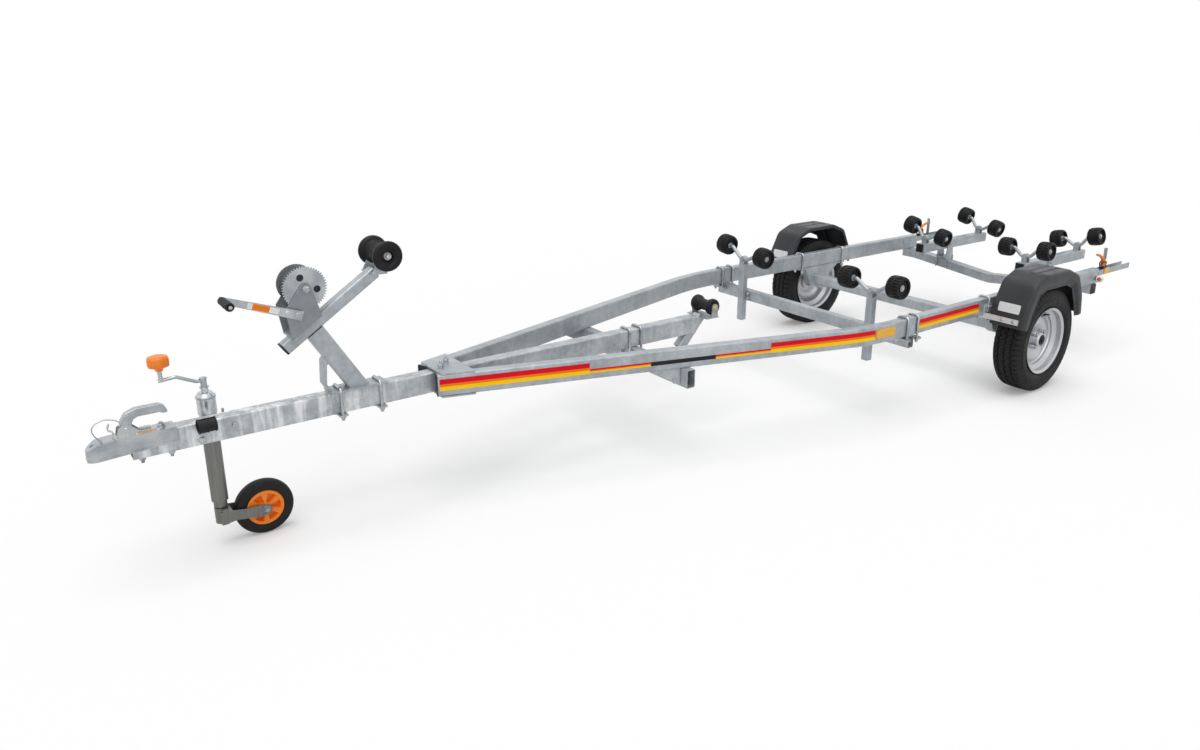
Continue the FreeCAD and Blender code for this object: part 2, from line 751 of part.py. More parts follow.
def swing_bracket():
    """The upright fork on the rear cross tube that the left swing beam rocks in."""
    pivot_z = SWING_TOP_Z - SWING_S / 2
    top = rear_cross_top(SWING_Y)
    base_z = top + 10
    inner = SWING_S / 2 + SIDE_GAP
    t = 6
    pieces = [box(REAR_CROSS_X - 45, REAR_CROSS_X + 45, SWING_Y - inner - t, SWING_Y + inner + t,
                  base_z - 2, base_z + 6)]
    for side in (-1, 1):
        low, high = sorted((SWING_Y + side * inner, SWING_Y + side * (inner + t)))
        pieces.append(side_plate(
            [(REAR_CROSS_X - 40, base_z), (REAR_CROSS_X + 40, base_z), (REAR_CROSS_X + 20, pivot_z + 20),
             (REAR_CROSS_X - 20, pivot_z + 20)], low, high))
    reach = inner + t + 8
    pieces.append(rod(V(REAR_CROSS_X, SWING_Y - reach, pivot_z), V(REAR_CROSS_X, SWING_Y + reach, pivot_z), 8))
    slope = REAR_CROSS_DROP / REAR_CROSS_FLAT_Y
    low_y = SWING_Y - inner - t
    high_y = SWING_Y + inner + t
    wedge = polygon([
        V(REAR_CROSS_X - REAR_CROSS_S / 2, low_y, top - (SWING_Y - low_y) * slope + SEAT_GAP),
        V(REAR_CROSS_X - REAR_CROSS_S / 2, high_y, top + (high_y - SWING_Y) * slope + SEAT_GAP),
        V(REAR_CROSS_X - REAR_CROSS_S / 2, high_y, base_z),
        V(REAR_CROSS_X - REAR_CROSS_S / 2, low_y, base_z),
    ]).extrude(FORWARD * REAR_CROSS_S)
    return join(pieces + [wedge])


TILTS = {
    "front_left": 1.0, "front_right": 6.0,
    "mid_left": 2.5, "mid_right": 12.0,
    "rear_left": 12.0, "rear_right": 13.0,
}


def hull_rollers():
    """Posts, swing beams and the six rockers with their roller pairs."""
    posts = []
    places = {}
    for name, y in (("front_left", POST_Y), ("front_right", -POST_Y)):
        post, places[name] = roller_post(y)
        posts.append(post)
    keep("roller_posts", posts)
    beam = swing_beam()
    keep("swing_beam_left", beam)
    keep("swing_beam_right", mirrored(beam))
    bracket = swing_bracket()
    keep("swing_brackets", [bracket, mirrored(bracket)])
    for row, x in (("mid", SWING_FRONT_ROCKER_X), ("rear", SWING_REAR_ROCKER_X)):
        for side, y in (("left", SWING_Y), ("right", -SWING_Y)):
            places[row + "_" + side] = V(x, y, REAR_PIVOT_Z)
    for name, pivot in places.items():
        spread = FRONT_SPREAD if name.startswith("front") else REAR_SPREAD
        outward = 1 if pivot.y > 0 else -1
        tilt = TILTS[name] * outward
        bar, rollers = rocker(pivot, spread, tilt)
        keep("rocker_" + name, bar)
        keep("rollers_" + name, rollers)
        axis = V(0, math.cos(math.radians(tilt)), math.sin(math.radians(tilt)))
        centre = pivot + V(0, -math.sin(math.radians(tilt)), math.cos(math.radians(tilt))) * ROD_RISE


# Keel roller

KEEL_ROLLER = V(1605, 0, 534)
KEEL_HALF = 65.0


def keel_strut():
    """The leaning strut behind the drawbar's end, with the keel roller's bracket."""
    foot = V(1762, 0, 352)
    head = V(1640, 0, 488)
    strut = tube([foot, head], 44, 44, up=LEFT)
    cut = box(KEEL_REAR_X - SEAT_GAP, 1900, -40, 40, FRAME_BOTTOM - SEAT_GAP, 600)
    strut = strut.cut(cut)
    inner = KEEL_HALF + SIDE_GAP
    t = 5
    plate = box(KEEL_ROLLER.x - 25, KEEL_ROLLER.x + 48, -inner - t, inner + t, 484, 489)
    pieces = [strut, plate]
    for side in (-1, 1):
        low, high = sorted((side * inner, side * (inner + t)))
        pieces.append(box(KEEL_ROLLER.x - 18, KEEL_ROLLER.x + 18, low, high, 486, KEEL_ROLLER.z))
        pieces.append(Part.makeCylinder(18, t, V(KEEL_ROLLER.x, low, KEEL_ROLLER.z), LEFT))
    pieces.append(rod(KEEL_ROLLER - LEFT * (inner + t + 7), KEEL_ROLLER + LEFT * (inner + t + 7), 8))
    return join(pieces)


# Bow stop and winch

def winch_stand():
    """The leaning post on its base plate, and the bow-stop arm across its top."""
    top = FRAME_BOTTOM + DRAWBAR_H
    base = box(WINCH_BASE_REAR_X, WINCH_BASE_FRONT_X, -38, 38, top, top + 8)
    foot = V(3288 - 24, 0, top + 4 - 40)
    lean = V(120, 0, 200).normalize()
    head = foot + lean * 380
    post = tube([foot, head], POST_W, POST_D, up=FORWARD)
    strut = side_plate(
        [(3396, 636), (3411, 618), (3416, 532), (3398, top + 8), (3388, top + 8), (3404, 532), (3398, 600),
         (3384, 618)], -20, 20)
    arm_front = ARM_FRONT
    arm_rear = ARM_REAR
    arm = tube([arm_front, arm_rear], ARM_S, ARM_S)
    slope = (arm_front - arm_rear).normalize()
    underside = V(slope.z, 0, -slope.x) * (ARM_S / 2 - 1)
    low_front = arm_front + slope * 100 + underside - LEFT * 60
    low_rear = arm_rear - slope * 100 + underside - LEFT * 60
    above = polygon([low_front, low_rear, low_rear + UP * 300, low_front + UP * 300])
    post = post.cut(above.extrude(LEFT * 120)).cut(box(3000, 3600, -60, 60, 300, top + 4))
    centre = V(BOW_X, 0, BOW_Z)
    inner = BOW_MIDDLE + SIDE_GAP
    t = BOW_EAR_T
    reach = BOW_W / 2
    seat = arm_rear
    plate = box(seat.x - 30, seat.x + 26, -inner - t, inner + t, seat.z - 3, seat.z + 3)
    pieces = [base, post, strut, arm, plate]
    for side in (-1, 1):
        low, high = sorted((side * inner, side * (inner + t)))
        pieces.append(side_plate(
            [(seat.x - 30, seat.z - 3), (seat.x + 26, seat.z - 3), (BOW_X + 18, BOW_Z), (BOW_X - 18, BOW_Z)],
            low, high))
        pieces.append(Part.makeCylinder(18, t, V(BOW_X, low, BOW_Z), LEFT))
    pieces.append(rod(centre - LEFT * (reach - 6), centre + LEFT * (reach - 6), 8))
    for side in (-1, 1):
        pieces.append(rod(centre + LEFT * (side * (reach - 11)), centre + LEFT * (side * (reach - 6)), 13))
    return join(pieces)


def bow_roller():
    """The bow stop's middle roller and the two bells outside the bracket's ears."""
    centre = V(BOW_X, 0, BOW_Z)
    bore = 8 + RUN_GAP
    waist = BOW_WAIST_R
    half = BOW_MIDDLE
    middle = turned([
        (bore, -half), (waist + 12, -half), (waist + 12, -half + 5), (waist + 3, -half + 16), (waist, -half + 26),
        (waist, half - 26), (waist + 3, half - 16), (waist + 12, half - 5), (waist + 12, half), (bore, half),
    ], centre, LEFT)
    start = half + BOW_EAR_T + 2 * SIDE_GAP
    stop = BOW_W / 2
    seat = stop - 12
    bell = [
        (bore, start), (waist + 8, start), (BOW_FLANGE_R - 6, start + 4), (BOW_FLANGE_R, start + 12),
        (BOW_FLANGE_R, stop - 5), (BOW_FLANGE_R - 5, stop), (22, stop), (18, seat), (bore, seat),
    ]
    bells = [turned(bell, centre, LEFT * side) for side in (-1, 1)]
    return [middle] + bells


def toothed(teeth, thickness, centre, bore):
    """A spur gear with straight-sided teeth and room between them."""
    pitch = MODULE * teeth / 2
    tip = pitch + MODULE * 0.8
    root = pitch - MODULE * 1.1
    points = []
    step = 2 * math.pi / teeth
    for n in range(teeth):
        for share, radius in ((-0.33, root), (-0.13, tip), (0.13, tip), (0.33, root)):
            turn = (n + share) * step
            points.append(V(radius * math.cos(turn), 0, radius * math.sin(turn)))
    gear = polygon(points).extrude(LEFT * thickness)
    hole = rod(V(0, -1, 0), V(0, thickness + 1, 0), bore)
    gear = gear.cut(hole)
    gear.translate(centre)
    return gear


PINION_DIRECTION = math.atan2(-78.0, 35.0)
CENTRES = MODULE * (TEETH_GEAR + TEETH_PINION) / 2 + 0.6


def crank_place():
    """The crank shaft's centre beside the drum, as far off as the gears ask."""
    return V(DRUM_X + CENTRES * math.cos(PINION_DIRECTION), 0, DRUM_Z + CENTRES * math.sin(PINION_DIRECTION))


def winch_frame():
    """The winch's two side plates on a cross plate, seated on the bow-stop arm."""
    shaft = crank_place()
    slope = (ARM_REAR - ARM_FRONT).normalize()
    lift = V(slope.z, 0, -slope.x)
    seat = ARM_FRONT + slope * 96 + lift * (ARM_S / 2)
    front = seat - slope * 60
    back = seat + slope * 66
    plate = polygon([front - LEFT * FRAME_HALF, back - LEFT * FRAME_HALF, back + LEFT * FRAME_HALF,
                     front + LEFT * FRAME_HALF]).extrude(lift * 5)
    pieces = [plate]
    crown = V(DRUM_X, 0, DRUM_Z)
    outline = [front, back, crown + V(-18, 0, 4), crown + V(-10, 0, 17), crown + V(6, 0, 20), crown + V(20, 0, 8),
               shaft + V(36, 0, 16), shaft + V(30, 0, -24)]
    for side in (-1, 1):
        start = FRAME_HALF if side > 0 else -FRAME_HALF - FRAME_T
        face = polygon([V(p.x, start, p.z) for p in outline])
        pieces.append(face.extrude(LEFT * FRAME_T))
    body = join(pieces)
    for place, radius in ((crown, 7.0), (shaft, 8.0)):
        hole = rod(V(place.x, -90, place.z), V(place.x, 90, place.z), radius + RUN_GAP)
        body = body.cut(hole)
    return body


def winch_drum():
    """The drum with its flanges and the big gear on one shaft."""
    crown = V(DRUM_X, 0, DRUM_Z)
    inner = FRAME_HALF - SIDE_GAP
    shaft = rod(crown - LEFT * (FRAME_HALF + FRAME_T + 6), crown + LEFT * (FRAME_HALF + FRAME_T + 6), 7)
    heads = [rod(crown + LEFT * (s * (FRAME_HALF + FRAME_T + SIDE_GAP)),
                 crown + LEFT * (s * (FRAME_HALF + FRAME_T + 7)), 12) for s in (-1, 1)]
    core = rod(crown - LEFT * inner, crown + LEFT * inner, 16)
    far = rod(crown - LEFT * inner, crown - LEFT * (inner - 3), 66)
    near = rod(crown + LEFT * (inner - GEAR_T - 6), crown + LEFT * (inner - GEAR_T - 3), 62)
    gear = toothed(TEETH_GEAR, GEAR_T, crown + LEFT * (inner - GEAR_T), 10)
    holes = []
    for n in range(3):
        turn = math.radians(120 * n + 70)
        place = crown + V(40 * math.cos(turn), 0, 40 * math.sin(turn))
        holes.append(rod(place, place + LEFT * 60, 12))
    return join([shaft, core, far, near, gear] + heads).cut(join_apart(holes))


def join_apart(shapes):
    """Shapes that need not touch, as one tool for a cut."""
    return Part.makeCompound(shapes)


def winch_strap():
    """The webbing wound on the drum."""
    crown = V(DRUM_X, 0, DRUM_Z)
    start = -(FRAME_HALF - SIDE_GAP - 3 - 0.5)
    stop = FRAME_HALF - SIDE_GAP - GEAR_T - 6 - 0.5
    outer = rod(V(crown.x, start, crown.z), V(crown.x, stop, crown.z), 44)
    return outer.cut(rod(V(crown.x, start - 1, crown.z), V(crown.x, stop + 1, crown.z), 16.3))


def winch_crank():
    """The crank shaft with its pinion and arm."""
    shaft = crank_place()
    inner = FRAME_HALF - SIDE_GAP
    arm_y = FRAME_HALF + FRAME_T + 8
    bar = rod(shaft - LEFT * (FRAME_HALF + FRAME_T + 6), shaft + LEFT * (arm_y + 10), 8)
    collar = rod(shaft - LEFT * (FRAME_HALF + FRAME_T + 6), shaft - LEFT * (FRAME_HALF + FRAME_T + 1), 13)
    pinion = toothed(TEETH_PINION, GEAR_T + 1, V(0, 0, 0), 6)
    mesh_turn = math.degrees(PINION_DIRECTION)
    gear_phase = (mesh_turn / (360 / TEETH_GEAR)) % 1
    pinion_phase = 0.5 - gear_phase
    pinion.rotate(V(0, 0, 0), LEFT, -(mesh_turn + 180 - pinion_phase * 360 / TEETH_PINION * 1.0))
    pinion.translate(V(shaft.x, inner - GEAR_T - 0.5, shaft.z))
    reach = V(math.cos(math.radians(20.5)), 0, math.sin(math.radians(20.5)))
    end = shaft + reach * CRANK_LENGTH
    cross = V(-reach.z, 0, reach.x)
    outline = [shaft + cross * 16 - reach * 16, shaft - cross * 16 - reach * 16,
               end - cross * 11 + reach * 8, end + cross * 11 + reach * 8]
    arm = side_plate([(p.x, p.z) for p in outline], arm_y, arm_y + 6)
    pin = rod(end + LEFT * (arm_y + 1), end + LEFT * (arm_y + 112), 6)
    return join([bar, collar, pinion, arm, pin]), end + LEFT * (arm_y + 8)


def bow_and_winch():
    """The bow stop with its roller, and the hand winch."""
    keep("winch_stand", winch_stand())
    keep("bow_roller", bow_roller())
    keep("winch_frame", winch_frame())
    keep("winch_drum", winch_drum())
    keep("winch_strap", winch_strap())
    crank, grip_start = winch_crank()
    keep("winch_crank", crank)
    grip = turned([(6.3, 0), (13, 0), (14, 8), (12, 30), (13, 80), (15, 92), (12, 98), (6.3, 98)],
                  grip_start, LEFT)
    keep("crank_grip", grip)


# Jockey wheel

def jockey_tube():
    """The outer tube of the jockey wheel with its clamp on the drawbar."""
    axis = V(JOCKEY_X, JOCKEY_Y, 0)
    outer = rod(axis + UP * JOCKEY_BOTTOM_Z, axis + UP * (JOCKEY_TOP_Z - 60), JOCKEY_R)
    cap = turned([(0, 0), (30, 0), (30, 62), (22, 74), (12, 78), (12, 92), (0, 92)],
                 axis + UP * (JOCKEY_TOP_Z - 70), UP)
    hollow = rod(axis + UP * (JOCKEY_BOTTOM_Z - 1), axis + UP * (JOCKEY_TOP_Z - 75), LEG_R + RUN_GAP)
    side = -DRAWBAR_W / 2
    clamp = box(JOCKEY_X - 70, JOCKEY_X + 60, side - 8, side, FRAME_BOTTOM + 8, FRAME_BOTTOM + 62)
    ring = rod(axis + UP * (FRAME_BOTTOM + 12), axis + UP * (FRAME_BOTTOM + 58), JOCKEY_R + 5)
    lug = box(JOCKEY_X - 70, JOCKEY_X - 20, JOCKEY_Y - 8, side, FRAME_BOTTOM + 14, FRAME_BOTTOM + 56)
    ring = ring.cut(box(JOCKEY_X - 90, JOCKEY_X + 90, side, 60, 0, 900))
    return join([outer, cap, clamp, ring, lug]).cut(hollow)


def jockey_crank():
    """The crank on top of the jockey wheel, with its stem."""
    top = JOCKEY_TOP_Z + 22
    start = V(JOCKEY_X, JOCKEY_Y, top)
    arm = bent_rod([V(JOCKEY_X - 8, JOCKEY_Y, top + 22), V(JOCKEY_X + 22, JOCKEY_Y, top + 24),
                    V(JOCKEY_X + 80, JOCKEY_Y, 634), V(3914, JOCKEY_Y, 630)], 14, 6)
    bolt = rod(start, start + UP * 30, 10)
    stem = rod(V(3906, JOCKEY_Y, 626), V(3906, JOCKEY_Y, 664), 7)
    return join([arm, bolt, stem])


def jockey_knob():
    """The lobed knob on the crank's stem."""
    base = V(3906, JOCKEY_Y, 664 + SEAT_GAP)
    core = turned([(0, 0), (12, 0), (16, 12), (30, 14), (33, 22), (33, 44), (28, 50), (0, 50)], base, UP)
    for n in range(6):
        turn = math.radians(60 * n)
        place = base + V(44 * math.cos(turn), 44 * math.sin(turn), 12)
        core = core.cut(rod(place, place + UP * 60, 15))
    return core


def jockey_leg():
    """The inner tube that the crank raises and lowers, with the fork's bearing in its foot."""
    axis = V(JOCKEY_X, JOCKEY_Y, 0)
    foot = FORK_TOP_Z + 3 + SIDE_GAP
    body = rod(axis + UP * foot, axis + UP * 380, LEG_R)
    hollow = rod(axis + UP * (foot + 10), axis + UP * 381, LEG_R - 3)
    bearing = rod(axis + UP * (foot - 1), axis + UP * (foot + 11), SPIGOT_R + RUN_GAP)
    return body.cut(hollow).cut(bearing)


def jockey_fork():
    """The trailing fork that swivels under the inner tube."""
    half = JOCKEY_WHEEL_W / 2 + 6
    t = 4
    outline = [
        (JOCKEY_X + 10, FORK_FOOT_Z), (JOCKEY_X + 10, 132), (JOCKEY_X - 12, 132), (JOCKEY_WHEEL_X + 60, 122),
        (JOCKEY_WHEEL_X + 8, 122), (JOCKEY_WHEEL_X - 16, 112), (JOCKEY_WHEEL_X - 20, 98), (JOCKEY_WHEEL_X - 8, 80),
        (JOCKEY_WHEEL_X + 20, 78), (JOCKEY_X - 40, 90),
    ]
    pieces = []
    for side in (-1, 1):
        low, high = sorted((JOCKEY_Y + side * half, JOCKEY_Y + side * (half + t)))
        pieces.append(side_plate(outline, low, high))
    clear = JOCKEY_WHEEL_X + JOCKEY_WHEEL_R + 7
    pieces.append(box(clear, JOCKEY_X, JOCKEY_Y - half - t, JOCKEY_Y + half + t, 118, 123))
    pieces.append(rod(V(JOCKEY_X, JOCKEY_Y, FORK_FOOT_Z), V(JOCKEY_X, JOCKEY_Y, FORK_TOP_Z), LEG_R))
    pieces.append(box(JOCKEY_X - 14, JOCKEY_X + 4, JOCKEY_Y - half - t, JOCKEY_Y + half + t, FORK_FOOT_Z, FORK_TOP_Z))
    hub = V(JOCKEY_WHEEL_X, JOCKEY_Y, JOCKEY_WHEEL_R)
    pieces.append(rod(hub - LEFT * (half + t + 6), hub + LEFT * (half + t + 6), 6))
    for side in (-1, 1):
        pieces.append(rod(hub + LEFT * (side * (half + t)), hub + LEFT * (side * (half + t + 7)), 10))
    pivot = V(JOCKEY_X, JOCKEY_Y, FORK_TOP_Z)
    pieces.append(rod(pivot, pivot + UP * 3, 16))
    pieces.append(rod(pivot, pivot + UP * SPIGOT_RISE, SPIGOT_R))
    return join(pieces)


def jockey():
    """The jockey wheel, its tube, crank, leg, fork and wheel."""
    keep("jockey_tube", jockey_tube())
    keep("jockey_crank", jockey_crank())
    keep("jockey_knob", jockey_knob())
    keep("jockey_leg", jockey_leg())
    keep("jockey_fork", jockey_fork())
    hub = V(JOCKEY_WHEEL_X, JOCKEY_Y, JOCKEY_WHEEL_R)
    half = JOCKEY_WHEEL_W / 2
    r = JOCKEY_WHEEL_R
    rubber = [(65, -half + 4), (80, -half), (r - 8, -half + 3), (r - 2, -half + 9), (r, 0),
              (r - 2, half - 9), (r - 8, half - 3), (80, half), (65, half - 4)]
    keep("jockey_tyre", turned(rubber, hub, LEFT))
    rim_profile = [(6.3, -half - 3), (14, -half - 3), (18, -half + 6), (54, -6), (54, -half + 4), (64.7, -half + 4),
                   (64.7, half - 4), (54, half - 4), (54, 6), (18, half - 6), (14, half + 3), (6.3, half + 3)]
    keep("jockey_rim", turned(rim_profile, hub, LEFT))


# Light board holders

def light_holder():
    """The left channel arm that carries one end of the light board."""
    t = HOLDER_T
    y1 = BEAM_OUTER_Y
    y0 = BEAM_OUTER_Y - BEAM_W - t
    z0 = HOLDER_Z
    z1 = HOLDER_Z + HOLDER_H
    start = BEAM_REAR_X - 3 - SEAT_GAP
    channel = box(HOLDER_END_X, start, y0, y1, z0, z1)
    channel = channel.cut(box(HOLDER_END_X - 1, start + 1, y0 + t, y1 - t, z0 + t, z1 + 1))
    tongue = box(start - 60, BEAM_REAR_X + 150, y0, y0 + t, z0, z1)
    upright = box(HOLDER_PLATE_X, HOLDER_PLATE_X + t, y0 + 0.5, y0 + 20, z0 + 1, z1 + 112)
    return join([channel, tongue, upright])


def light_lever(side):
    """The clamp lever on one light board holder, on its short stem."""
    base = V(LEVER_X, (BEAM_OUTER_Y - 16) * side, HOLDER_Z + HOLDER_T + SEAT_GAP)
    knee = base + UP * 74
    tip = knee + (V(88, 0, 46) if side > 0 else V(-104, 0, 30))
    stem = rod(base, knee, 7)
    start = knee - (tip - knee).normalize() * 8
    middle = knee + (tip - knee) * 0.5 + UP * 6
    return join([stem, bent_rod([start, middle, tip], 60, 8)])


def rear_lights():
    """The light board holders with their clamp levers."""
    holder = light_holder()
    keep("light_holders", [holder, mirrored(holder)])
    keep("light_levers", [light_lever(1), light_lever(-1)])
    lamp = turned([(0, 0), (14, 0), (22, 8), (24, 26), (20, 36), (0, 38)],
                  V(-872, BEAM_OUTER_Y + 0.3, FRAME_BOTTOM + 28), LEFT)
    keep("marker_lamp", lamp)


MID_X = (COUPLER_TIP_X + HOLDER_END_X) / 2


def export():
    """Writes each named piece to its own file, about the middle of the length."""
    os.makedirs("parts", exist_ok=True)
    for name, shapes in NODES.items():
        moved = []
        for shape in shapes:
            for solid in shape.Solids:
                copy = solid.copy()
                copy.translate(V(-MID_X, 0, 0))
                moved.append(copy)
        whole = moved[0] if len(moved) == 1 else Part.makeCompound(moved)
        whole.exportStep("parts/" + name + ".step")


def main():
    """Builds the trailer and writes its pieces."""
    frame()
    keep("coupler", coupler())
    keep("coupler_lever", coupler_lever())
    keep("plug_holder", plug_holder())
    running_gear()
    hull_rollers()
    keep("keel_strut", keel_strut())
    keep("keel_roller", spool(KEEL_ROLLER, KEEL_HALF, 38.0, 26.0, 8 + RUN_GAP))
    bow_and_winch()
    jockey()
    rear_lights()
    export()


main()
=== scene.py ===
"""A boat trailer with hull rollers: the looks of every piece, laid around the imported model."""
import json
import math
import bpy
import numpy as np
from mathutils import Matrix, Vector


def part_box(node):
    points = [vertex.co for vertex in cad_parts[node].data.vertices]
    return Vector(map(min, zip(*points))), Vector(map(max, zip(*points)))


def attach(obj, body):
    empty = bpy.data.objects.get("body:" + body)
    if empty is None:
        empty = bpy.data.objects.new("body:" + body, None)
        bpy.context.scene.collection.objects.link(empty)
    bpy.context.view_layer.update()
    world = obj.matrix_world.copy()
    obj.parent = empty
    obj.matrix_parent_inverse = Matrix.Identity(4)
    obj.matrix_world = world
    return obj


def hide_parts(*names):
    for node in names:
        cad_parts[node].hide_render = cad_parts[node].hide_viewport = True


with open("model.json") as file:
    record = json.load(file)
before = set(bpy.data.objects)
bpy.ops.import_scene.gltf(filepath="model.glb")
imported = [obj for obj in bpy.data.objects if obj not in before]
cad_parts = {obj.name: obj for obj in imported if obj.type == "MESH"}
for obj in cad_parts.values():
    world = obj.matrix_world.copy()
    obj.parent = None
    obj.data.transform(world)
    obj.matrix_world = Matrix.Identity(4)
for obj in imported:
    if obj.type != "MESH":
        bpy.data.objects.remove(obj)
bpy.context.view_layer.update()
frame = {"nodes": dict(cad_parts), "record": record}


# Driving sizes, in metres. X runs forward, Y to the trailer's left, Z up.

tyre_low, tyre_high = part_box("tyre_left")
AXLE = (tyre_low.x + tyre_high.x) / 2
TYRE_R = (tyre_high.z - tyre_low.z) / 2
TYRE_Y = (tyre_low.y + tyre_high.y) / 2
TYRE_W = tyre_high.y - tyre_low.y
beam_low, beam_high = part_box("main_beam_left")
BEAM_TOP = beam_high.z
BEAM_BOTTOM = beam_low.z
BEAM_Y = beam_high.y
BEAM_W = 0.045
BEND_X = AXLE + 1.154
BEND_R = 1.1225
BEAM_FRONT_X = AXLE + 3.016
BEAM_FRONT_Y = 0.083
BEND = math.atan2(BEAM_Y - BEAM_FRONT_Y, BEAM_FRONT_X - BEND_X)


def ahead(x):
    """A place along the trailer, given from the wheel axle."""
    return AXLE + x


def at(x, y, z):
    """A point in metres, given in millimetres with x from the wheel axle."""
    return np.array([AXLE + x / 1000, y / 1000, z / 1000])


def path_at(*points):
    """Several such points."""
    return [at(*point) for point in points]


def outline_at(*points):
    """Points of an upright outline that runs fore and aft, as (x, z) in the same millimetres."""
    return [at(x, 0, z)[[0, 2]] for x, z in points]


# Shapes: each returns (vertices, faces), and piece() puts any number of them into one mesh.

def grid_faces(rows, cols, wrap_rows=False, wrap_cols=False):
    """The quads of a grid of points, with its last line joined to its first where it wraps."""
    index = np.arange(rows * cols).reshape(rows, cols)
    if wrap_rows:
        index = np.vstack([index, index[:1]])
    if wrap_cols:
        index = np.hstack([index, index[:, :1]])
    corners = [index[:-1, :-1], index[1:, :-1], index[1:, 1:], index[:-1, 1:]]
    return np.stack(corners, -1).reshape(-1, 4).tolist()


def outward(verts, faces):
    """The same closed surface with its faces turned out, by the sign of its enclosed volume."""
    fans = [(f[0], f[i], f[i + 1]) for f in faces for i in range(1, len(f) - 1)]
    a, b, c = verts[np.array(fans)].transpose(1, 0, 2)
    volume = np.einsum("ij,ij->i", a, np.cross(b, c)).sum()
    if volume < 0:
        faces = [f[::-1] for f in faces]
    return verts, faces


def axes_for(direction):
    """Two unit vectors square to a direction and to each other."""
    d = np.array(direction, float)
    d = d / np.linalg.norm(d)
    helper = np.array([0.0, 0.0, 1.0]) if abs(d[2]) < 0.9 else np.array([1.0, 0.0, 0.0])
    side = np.cross(helper, d)
    side = side / np.linalg.norm(side)
    return d, side, np.cross(d, side)


def lathe(profile, centre, direction, steps=48, ripple=None, relief=None):
    """A profile of (radius, along) turned about a direction through centre.

    Each point is centre + along * direction + radius * (cos a * side + sin a * over).
    ripple(row, angle) may add to the radius, and relief(row, angle) to along. Open ends are
    closed by a flat face, and a profile whose last point is its first wraps into a ring.
    """
    d, side, over = axes_for(direction)
    profile = np.array(profile, float)
    ring = np.allclose(profile[0], profile[-1])
    if ring:
        profile = profile[:-1]
    angle = np.linspace(0, 2 * np.pi, steps, endpoint=False)
    radius = profile[:, :1] + np.zeros((1, steps))
    if ripple is not None:
        radius = radius + ripple(np.arange(len(profile))[:, None], angle[None, :])
    round_way = np.cos(angle)[None, :, None] * side + np.sin(angle)[None, :, None] * over
    along = profile[:, 1:] + np.zeros((1, steps))
    if relief is not None:
        along = along + relief(np.arange(len(profile))[:, None], angle[None, :])
    points = np.array(centre) + along[..., None] * d + radius[..., None] * round_way
    faces = grid_faces(len(profile), steps, ring, True)
    verts = points.reshape(-1, 3)
    if not ring:
        faces.append(list(range(steps))[::-1])
        faces.append(list(range(len(verts) - steps, len(verts))))
    return outward(verts, faces)


def smooth_path(corners, radius, steps=6):
    """Straight runs through the corners, joined by arcs of a radius: tangent circles, sampled."""
    corners = [np.array(c, float) for c in corners]
    path = [corners[0]]
    for before, corner, after in zip(corners, corners[1:], corners[2:]):
        back = (before - corner) / np.linalg.norm(before - corner)
        on = (after - corner) / np.linalg.norm(after - corner)
        half = np.arccos(np.clip(back @ on, -1, 1)) / 2
        cut = min(radius / np.tan(half), 0.45 * np.linalg.norm(before - corner),
                  0.45 * np.linalg.norm(after - corner))
        r = cut * np.tan(half)
        centre = corner + (back + on) / np.linalg.norm(back + on) * (r / np.sin(half))
        start = corner + back * cut - centre
        stop = corner + on * cut - centre
        sweep = np.arccos(np.clip(start @ stop / (r * r), -1, 1))
        t = np.linspace(0, 1, steps)[:, None]
        arc = (np.sin((1 - t) * sweep) * start + np.sin(t * sweep) * stop) / max(np.sin(sweep), 1e-9)
        path += list(centre + arc)
    path.append(corners[-1])
    return np.array(path)


def evenly(path, step):
    """The same path with points at even steps of its length."""
    path = np.array(path, float)
    run = np.concatenate([[0], np.cumsum(np.linalg.norm(np.diff(path, axis=0), axis=1))])
    places = np.linspace(0, run[-1], max(2, int(run[-1] / step)))
    return np.stack([np.interp(places, run, path[:, i]) for i in range(3)], 1)


def carried(profile, path, up=(0, 0, 1), closed=False):
    """A closed profile of (side, over) points carried along a path.

    At each path point the profile lies square to the path's direction there, with its
    'over' axis as near to up as it can be. A list of profiles gives one for each point.
    """
    path = np.array(path, float)
    profile = np.array(profile, float)
    if profile.ndim == 2:
        profile = np.repeat(profile[None], len(path), 0)
    if closed:
        run = np.roll(path, -1, 0) - np.roll(path, 1, 0)
    else:
        run = np.gradient(path, axis=0)
    run = run / np.linalg.norm(run, axis=1)[:, None]
    side = np.cross(np.array(up, float), run)
    side = side / np.linalg.norm(side, axis=1)[:, None]
    over = np.cross(run, side)
    points = path[:, None] + profile[..., :1] * side[:, None] + profile[..., 1:] * over[:, None]
    count = profile.shape[1]
    faces = grid_faces(len(path), count, closed, True)
    verts = points.reshape(-1, 3)
    if not closed:
        faces.append(list(range(count))[::-1])
        faces.append(list(range(len(verts) - count, len(verts))))
    return outward(verts, faces)


def circle(radius, sides=12):
    """Points of a circle about the origin."""
    angle = np.linspace(0, 2 * np.pi, sides, endpoint=False)
    return np.stack([radius * np.cos(angle), radius * np.sin(angle)], 1)


def round_bar(corners, radius, bend=0.02, sides=12, up=(0, 0, 1)):
    """A round bar through corners, bent to a radius at each."""
    path = smooth_path(corners, bend) if len(corners) > 2 else np.array(corners, float)
    return carried(circle(radius, sides), path, up)


def plate(outline, axis, low, high):
    """A flat outline of two-number points, carried from low to high along axis 0, 1 or 2."""
    flat = np.array(outline, float)
    others = [i for i in range(3) if i != axis]
    verts = np.zeros((2 * len(flat), 3))
    verts[:, others] = np.vstack([flat, flat])
    verts[:len(flat), axis] = low
    verts[len(flat):, axis] = high
    n = len(flat)
    faces = [list(range(n)), list(range(n, 2 * n))[::-1]]
    faces += [[(i + 1) % n, i, i + n, (i + 1) % n + n] for i in range(n)]
    return outward(verts, faces)


